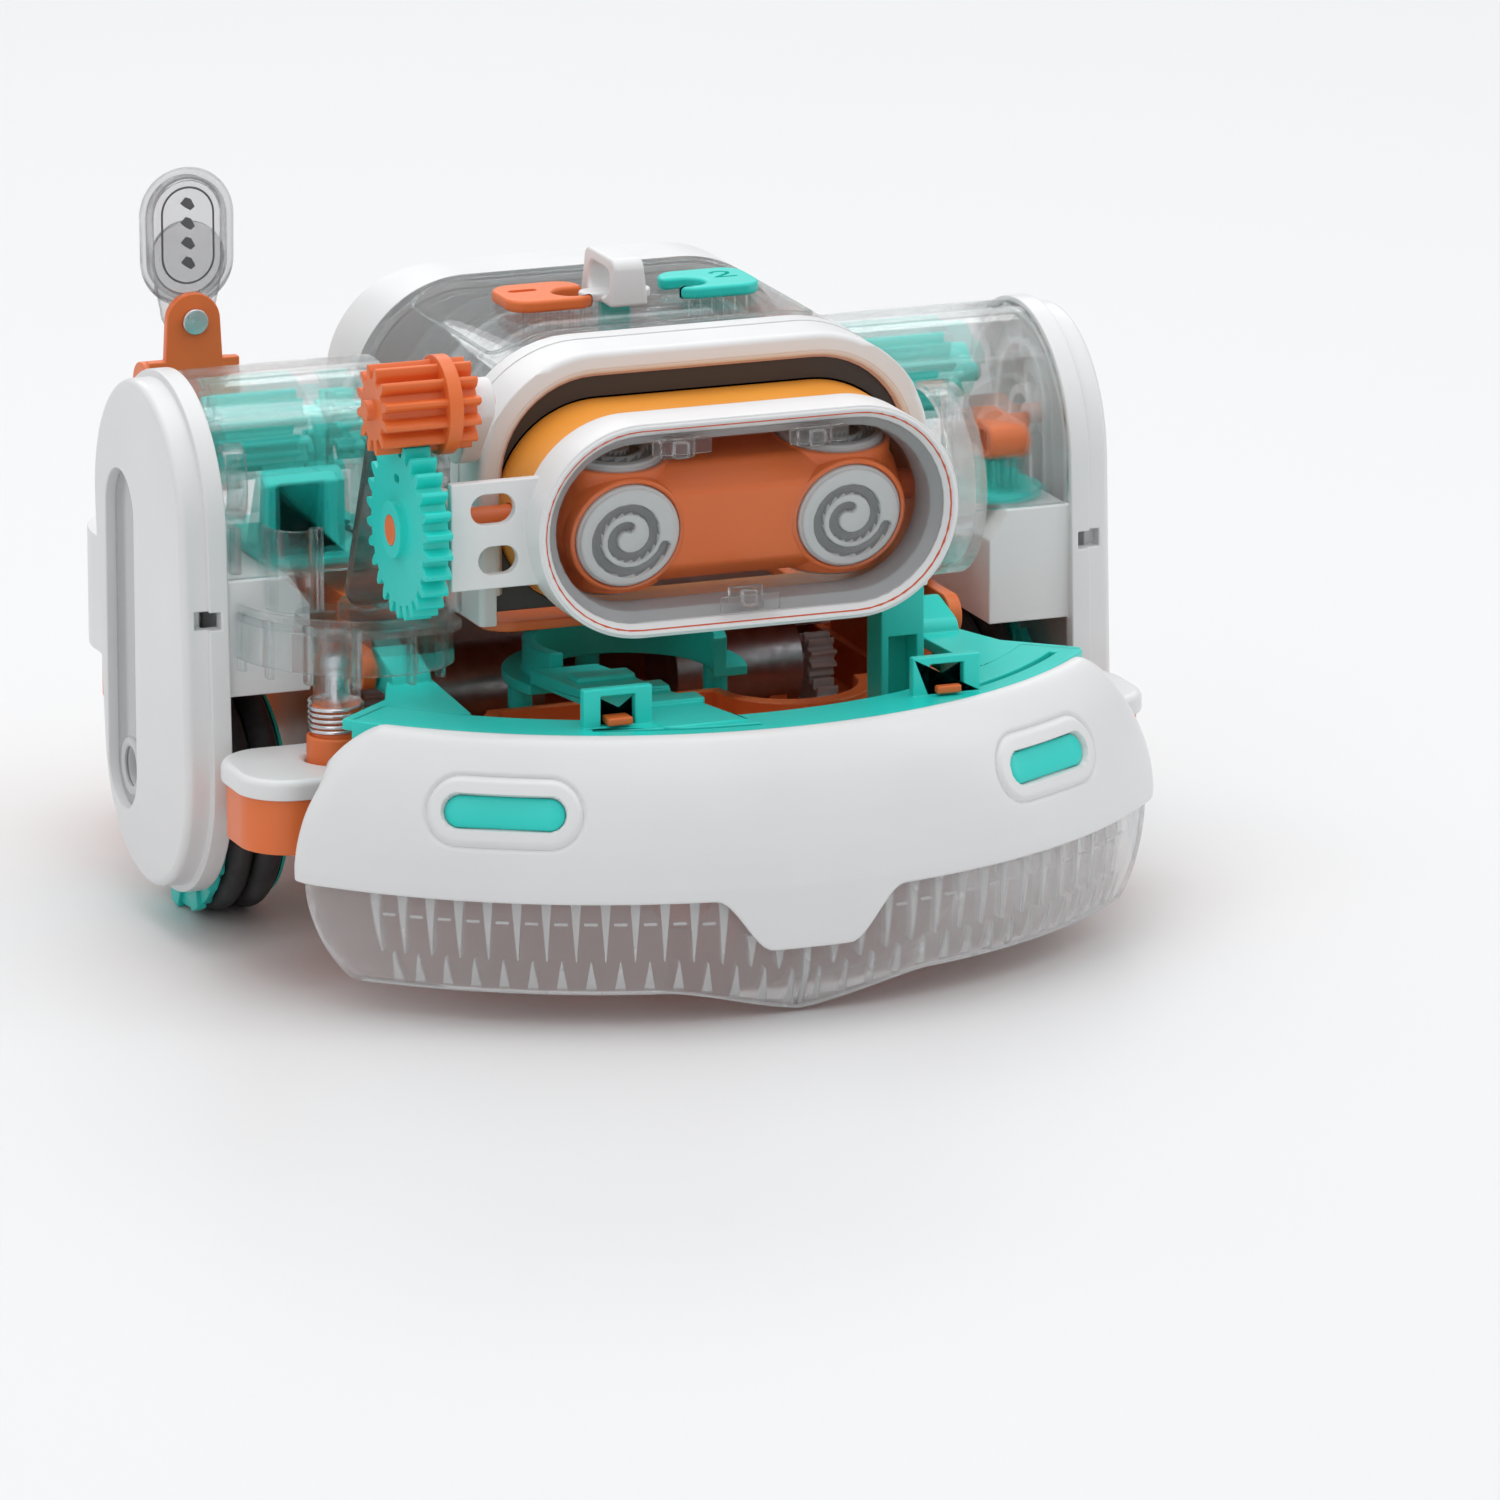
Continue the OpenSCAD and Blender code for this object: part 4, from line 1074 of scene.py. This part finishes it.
def snap_clip(x, side, front):
    """Foot, hook and stem of a clip at the bezel's upper (side 1) or lower (side -1) edge."""
    edge_z = DRUM_AT.z + side * 17.6
    made = []
    # Half width, first and last reach from the bezel's edge, front, back, corner, rounding
    for half, first, last, near, far, corner, edge in (
        (6, 0.0, 3.2, -0.4, 0.35, 0.5, 0.15),
        (3.4, 0.0, 4.4, 1.7, 3.4, 0.4, 0.2),
        (1.5, 1.0, 4.0, -0.55, 1.65, 0.4, 0.15),
    ):
        ends = sorted((edge_z - side * first, edge_z - side * last))
        outline = rounded_box((x - half, ends[0]), (x + half, ends[1]), corner)
        made.append(prism(outline, front + near, front + far, "y", edge=edge))
    return made


# ---------------------------------------------------------------- pods


def wall_along(path, low, high, thickness, closed=False):
    """Upright wall of constant thickness along a plan path."""
    rows = []
    count = len(path)
    for i, (x, y) in enumerate(path):
        ax, ay = path[i - 1] if i or closed else path[i]
        bx, by = path[(i + 1) % count] if i < count - 1 or closed else path[i]
        length = math.hypot(bx - ax, by - ay)
        nx, ny = -(by - ay) / length * thickness / 2, (bx - ax) / length * thickness / 2
        rows.append([
            (x + nx, y + ny, low), (x + nx, y + ny, high), (x - nx, y - ny, high), (x - nx, y - ny, low),
        ])
    mesh = skin(rows, close_rows=closed, close_columns=True, caps=not closed)
    bmesh.ops.recalc_face_normals(mesh, faces=mesh.faces)
    ease(mesh, 0.25, 2)
    return mesh


def pod_dish():
    """Clear bumper wall with buttresses under the left pod's front edge."""
    foot = axle_box("pod_stanchion")
    rim = curve_through([(-86.5, -30.0), (-84.0, -41.0), (-77.0, -51.0), (-67.5, -57.0), (-57.0, -57.5),
                         (-49.5, -52.5), (-46.5, -44.0)], 42)
    parts = [wall_along(rim, 59.0, foot[0].z + 15.5, 1.4)]
    parts.append(wall_along([(x * 0.985 - 1.0, y * 0.97) for x, y in rim], 66.5, 69.6, 1.2))
    for k in (4, 9, 14, 20, 27, 33):
        x, y = rim[k]
        outline = rounded_box((x - 0.7, y + 0.8), (x + 0.7, y + 3.4), 0.4)
        parts.append(prism(outline, 56.5, 68.0, "z", edge=0.2))
    piece("pod_dish_wall", to_frame(joined(*parts)), "chassis", "clear_plastic")


def pod_post_spring():
    """Cup and spring round the screw post at the front of the left wing."""
    x, y = axle_box("pod_stanchion")[0].x + 4.4, -50.0
    coils, low, high = 5.5, 47.2, 53.2
    path = []
    for k in range(int(coils * 24) + 1):
        a = 2 * math.pi * k / 24
        path.append((x + 5.1 * math.cos(a), y + 5.1 * math.sin(a), low + (high - low) * k / (coils * 24)))
    piece("post_spring", to_frame(tube(path, 0.42, 8)), "chassis", "steel")
    cup = lathe([(5.0, 40.4), (5.75, 40.6), (5.75, 46.3), (5.45, 46.7), (5.0, 46.7)], (x, y, 0), 40)
    piece("post_cup", to_frame(cup), "chassis", "orange_plastic")
    blade = prism(taper_outline((-63.5, 74.0), 4.6, (-61.0, 104.0), 2.3), -47.5, -44.9, "y", edge=0.4)
    piece("pod_blade", to_frame(blade), "chassis", "clear_plastic", SMOKY)


def pod_clear_fittings():
    """Clear latch, boss and guide rails round the left pod's gears."""
    parts = []
    ring = skin([
        [(x, wide * c - 27.0, tall * s + 92.0) for c, s in turns(36)]
        for x, wide, tall in ((-86.8, 4.2, 8.0), (-82.6, 4.2, 8.0), (-82.6, 2.8, 6.4), (-86.8, 2.8, 6.4))
    ], close_rows=True, close_columns=True)
    bmesh.ops.recalc_face_normals(ring, faces=ring.faces)
    ease(ring, 0.5, 3)
    parts.append(ring)
    for y in (-30.6, -27.0, -23.4):
        parts.append(tube([(-85.4, y, 84.0), (-85.4, y, 75.0)], 1.2, 14))
    rail = curve_through([(-80.0, -30.0), (-79.5, -36.0), (-76.0, -39.5), (-71.5, -39.0)], 14)
    parts.append(wall_along(rail, 68.2, 84.5, 1.2))
    parts.append(tube([(-71.5, -38.4, 68.2), (-71.5, -38.4, 84.5)], 1.5, 14))
    latch = [(-49.2, 69.0), (-49.2, 87.5), (-45.6, 87.5), (-45.0, 84.6), (-46.8, 84.0), (-46.8, 69.0)]
    parts.append(prism(latch, -52.6, -49.6, "y", edge=0.25))
    parts.append(prism(rounded_box((-49.6, 83.2), (-44.6, 88.6), 1.4), -53.8, -48.4, "y", edge=0.4))
    piece("pod_clear_fittings", to_frame(joined(*parts)), "chassis", "clear_plastic")


# ---------------------------------------------------------------- side plates and wheels

PLATE_X = axle_box("side_plate_right")[1].x
RECESS_X = PLATE_X - 2.5
# Middle (y, z) of the port's hole, and of the recess's lower and upper round ends
PORT = (5.5, 28.5)
RECESS_FOOT = (5.5, 29.0)
RECESS_HEAD = (5.5, 80.0)
SIDE_NAME = {-1: "left", 1: "right"}


def plate_recess(side):
    """Glossy grey floor of the plate's long recess, and the collar and plug of its port."""
    inner, outer = RECESS_X + 0.03, RECESS_X + 0.4
    floor = prism(taper_outline(RECESS_FOOT, 8.45, RECESS_HEAD, 8.45, 24), inner, outer, "x", edge=0)
    floor = boolean(floor, lathe([(4.0, inner - 1), (4.0, outer + 1)], (0, *PORT), 40, "x"))
    collar = lathe([(4.0, outer - 0.1), (5.9, outer - 0.1), (5.7, outer + 0.45), (4.5, outer + 0.6),
                    (4.05, outer + 0.3)], (0, *PORT), 48, "x")
    collar = boolean(collar, lathe([(4.02, inner - 1), (4.02, outer + 2)], (0, *PORT), 40, "x"))
    plug = lathe([(3.9, inner - 3.6), (3.9, inner - 3.0)], (0, *PORT), 40, "x")
    for name, mesh, slot, material in (
        ("recess_floor_", floor, "grey_plastic", RECESS_GREY),
        ("port_collar_", collar, "grey_plastic", EYE_GREY),
        ("port_plug_", plug, "dark_plastic", None),
    ):
        piece(name + SIDE_NAME[side], to_frame(mirrored(mesh, side)), "chassis", slot, material)


def wheel_flange(side):
    """Lugged outer flange of a wheel hub."""
    low, high = axle_box("tyres_right")
    middle_x, z = (low.x + high.x) / 2, (low.z + high.z) / 2
    face = middle_x + 6.6
    parts = [lathe([(17.5, face), (22.9, face), (23.1, face + 0.3), (23.1, face + 1.2), (22.6, face + 1.5),
                    (17.5, face + 1.5)], (0, 0, z), 72, "x")]
    for k in range(12):
        a = math.radians(30 * k + 7)
        lug = []
        for r, half in ((20.4, 3.0), (23.75, 2.0)):
            for turn in (-1, 1) if r < 22 else (1, -1):
                lug.append((r * math.cos(a) - turn * half * math.sin(a),
                            z + r * math.sin(a) + turn * half * math.cos(a)))
        parts.append(prism(lug, face + 0.2, face + 2.3, "x", edge=0.35, segments=2))
    name = SIDE_NAME[side]
    mesh = mirrored(joined(*parts), side)
    piece("wheel_flange_" + name, to_frame(mesh), "wheel_" + name, "teal_plastic")


# ---------------------------------------------------------------- hood and paddle

HOOD_BOX = axle_box("hood_front_frame")
HOOD_HALF = HOOD_BOX[1].x
HOOD_R = 24.0
HOOD_FRONT = axle_box("recess_band")[0].y - 2
DECK_Z = axle_box("hood_window")[0].z


def hood_outline(grow, low):
    """The hood's arch from foot to foot, offset outwards by grow."""
    half, top, radius = HOOD_HALF + grow, HOOD_TOP + grow, HOOD_R + grow
    points = [(-half, low)] + arc((radius - half, top - radius), radius, 180, 12, -90)
    points += [(-x, z) for x, z in reversed(points)]
    return points


def hood_band(levels, low):
    """Arch-shaped band through levels of (offset, y), closed at its feet."""
    mesh = skin([[(x, y, z) for x, z in hood_outline(grow, low)] for grow, y in levels], close_rows=True)
    bmesh.ops.holes_fill(mesh, edges=[e for e in mesh.edges if e.is_boundary], sides=len(levels))
    bmesh.ops.recalc_face_normals(mesh, faces=mesh.faces)
    return mesh


def on_hood(x, y):
    """A point a hair above the hood's outer face."""
    over = max(abs(x) - (HOOD_HALF - HOOD_R), 0.0)
    return x, y, HOOD_TOP - HOOD_R + math.sqrt(HOOD_R ** 2 - over ** 2) + 0.05


def hood_details():
    """Wider white front band, its warm inner lip, and the raised line on the window."""
    front, back = HOOD_FRONT, HOOD_BOX[1].y
    collar = hood_band([(-3.3, front + 0.15), (-3.6, front + 0.1), (-4.2, front + 0.4), (-4.5, front + 0.9),
                        (-4.5, front + 1.9), (-3.3, front + 1.9)], DECK_Z + 6)
    overlap = hood_band([(0.22, back - 0.6), (0.22, back + 3.9), (-0.1, back + 4.4), (-0.3, back + 4.4),
                         (-0.3, back - 0.6)], DECK_Z + 0.3)
    piece("hood_collar", to_frame(joined(collar, overlap)), "chassis", "white_plastic", smooth_angle=40)
    lip = hood_band([(-4.3, front + 1.0), (-4.9, front + 1.2), (-4.9, front + 1.9), (-4.3, front + 1.9)],
                    DECK_Z + 6)
    piece("hood_warm_lip", to_frame(lip), "chassis", "orange_plastic", LIP_WARM)
    ring = [on_hood(x, y) for x, y in rounded_box((-36.0, back + 7.5), (31.0, 9.0), 5.0, 6)]
    line = []
    for p, q in zip(ring, ring[1:] + ring[:1]):
        for t in spaced(0.0, 1.0, 3.0 / max((Vector(p) - Vector(q)).length, 0.5))[:-1]:
            line.append(on_hood(p[0] + (q[0] - p[0]) * t, p[1] + (q[1] - p[1]) * t))
    piece("window_raised_line", to_frame(tube(line, 0.4, 8, closed=True)), "chassis", "clear_plastic")


def paddle():
    """Grey clear paddle: thin panel in a thick round rim, with a drawn line and four slots."""
    low, high = axle_box("paddle_blade")
    x, y = (low.x + high.x) / 2, (low.y + high.y) / 2
    half = (high.x - low.x) / 2
    foot, head = high.z - half - 8.7, high.z - half
    rim = taper_outline((x, foot), half - 1.6, (x, head), half - 1.5, 24)
    body = tube([(u, y, v) for u, v in rim], 1.42, 14, closed=True)
    plate = taper_outline((x, foot), half - 1.7, (x, head), half - 1.7, 24)
    panel = prism(plate, y - 0.8, y + 0.8, "y", edge=0)
    stalk = taper_outline((x, low.z + 5.5), 5.4, (x, foot), 7.6, 24)
    neck = prism(stalk, y - 0.9, y + 0.9, "y", edge=0)
    line = taper_outline((x, foot + 0.6), 5.3, (x, head + 0.5), 5.3, 20)
    drawn = tube([(u, y - 0.85, v) for u, v in line], 0.22, 6, closed=True)
    piece("paddle_panel", to_frame(joined(body, panel, neck)), "paddle", "clear_plastic", PADDLE_GREY,
          replaces=["paddle_blade"])
    slots = [drawn]
    for k in range(4):
        z = foot - 0.9 + 3.95 * k
        slots.append(prism([(x - 1.5, z + 0.4), (x - 0.4, z + 1.6), (x + 0.7, z + 1.2), (x + 1.5, z - 0.4),
                            (x + 0.6, z - 1.1), (x - 0.6, z - 0.4)], y - 0.95, y - 0.6, "y", edge=0.1))
    piece("paddle_slots", to_frame(joined(*slots)), "paddle", "dark_plastic", SLOT_SMOKE)


# ---------------------------------------------------------------- assembly

# Painted reflection: the drum's red seen refracted in the lens's edge, as a line
REFRACTED_RED = plastic("refracted_red", (0.66, 0.10, 0.03), (0.60, 0.09, 0.027), (0.4, 0.5), 0.1)
EYE_GREY = plastic("eye_grey", (0.58, 0.59, 0.59), (0.55, 0.56, 0.56), (0.38, 0.48), 0.15)
# Painted shade: the darker grey of the eyes' spiral grooves, standing in for the shade in them
EYE_GROOVE_SHADE = plastic("eye_groove_shade", (0.26, 0.265, 0.265), (0.23, 0.235, 0.235), (0.4, 0.5), 0.15)
BEZEL_GREY = plastic("bezel_grey", (0.34, 0.345, 0.35), (0.31, 0.315, 0.32), (0.3, 0.4), 0.1)
RECESS_GREY = plastic("recess_grey", (0.40, 0.40, 0.405), (0.37, 0.37, 0.375), (0.12, 0.18), 0.02, coat=0.5)
LIP_WARM = plastic("lip_warm", (0.62, 0.42, 0.38), (0.58, 0.39, 0.355), (0.4, 0.5), 0.1)
SKIRT_CLEAR = frosted("skirt_clear", (0.95, 0.955, 0.96), (0.93, 0.935, 0.94), 0.04, 0.24, 0.48)
# Milky white of the ribs, also used for the painted highlight along the apron's lower edge
RIB_WHITE_AND_GLINT = frosted("rib_white_and_glint", (0.95, 0.95, 0.95), (0.92, 0.92, 0.92), 0.2, 0.7, 0.12)
LENS_CLEAR = clear("lens_clear", (0.99, 0.99, 0.99), (0.985, 0.985, 0.985), 0.004, 0.93)
CLIP_CLEAR = clear("clip_clear", (0.90, 0.90, 0.90), (0.84, 0.84, 0.84), 0.01, 0.1)
SMOKY = clear("smoky", (0.62, 0.64, 0.64), (0.52, 0.54, 0.54), 0.02, 0.45)
PADDLE_GREY = clear("paddle_grey", (0.80, 0.80, 0.805), (0.76, 0.76, 0.765), 0.02, 0.3)
SLOT_SMOKE = plastic("slot_smoke", (0.12, 0.12, 0.125), (0.10, 0.10, 0.105), (0.15, 0.25), 0.05)

set_camera()
set_light()
add_floor()
bumper_shell()
bumper_lights()
bumper_skirt()
skirt_ribs()
drum_body()
eye_discs()
slide_knob()
mode_pad("mode_pad_1", 1, 1)
mode_pad("mode_pad_2", 2, -1)
face_bezel_details()
pod_dish()
pod_post_spring()
pod_clear_fittings()
for side in (-1, 1):
    plate_recess(side)
    wheel_flange(side)
hood_details()
paddle()


def on_outer_rim(edge):
    """The plate's outer outline, without the rim of its recess."""
    at = (edge.verts[0].co + edge.verts[1].co) / 2
    nearest = min(max(at.z, RECESS_FOOT[1]), RECESS_HEAD[1])
    from_recess = math.hypot(at.y - RECESS_FOOT[0], at.z - nearest)
    return all(abs(abs(v.co.x) - PLATE_X) < 0.01 for v in edge.verts) and from_recess > 9.5


def on_hood_front(edge):
    """The outer outline of the hood's front face."""
    return all(
        abs(v.co.y - HOOD_FRONT) < 0.01 and (abs(v.co.x) > 43.5 or v.co.z > 117) for v in edge.verts
    )


def on_pad_top(edge):
    return all(abs(v.co.z - PAD_TOP) < 0.01 for v in edge.verts)


PAD_TOP = 42.0
# Width and selected edges of the nodes that are not rounded like the rest
SPECIAL = {
    "side_plate_left": dict(wide=[(on_outer_rim, 1.6, 5)]),
    "side_plate_right": dict(wide=[(on_outer_rim, 1.6, 5)]),
    "pad_covers": dict(wide=[(on_pad_top, 1.5, 5)]),
    "hood_front_frame": dict(wide=[(on_hood_front, 1.3, 4)]),
    "drum_gear": dict(width=0.15),
    "double_gear": dict(width=0.15),
    "pod_pinion_left": dict(width=0.15),
    "pod_pinion_right": dict(width=0.15),
    "swirl_gear": dict(width=0.1),
    "bumper_spring": dict(width=0),
    "tyres_left": dict(width=0),
    "tyres_right": dict(width=0),
    "drum_housing": dict(material=AMBER),
}
for fine in ("axle_gear_left", "axle_gear_right", "motor_pinion_left", "motor_pinion_right"):
    SPECIAL[fine] = dict(width=0.1, segments=1)

stood_for = {n for o in bpy.data.objects for n in list(o.get("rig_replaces", []))}
for node in frame["nodes"]:
    if node not in stood_for:
        eased(node, **SPECIAL.get(node, {}))
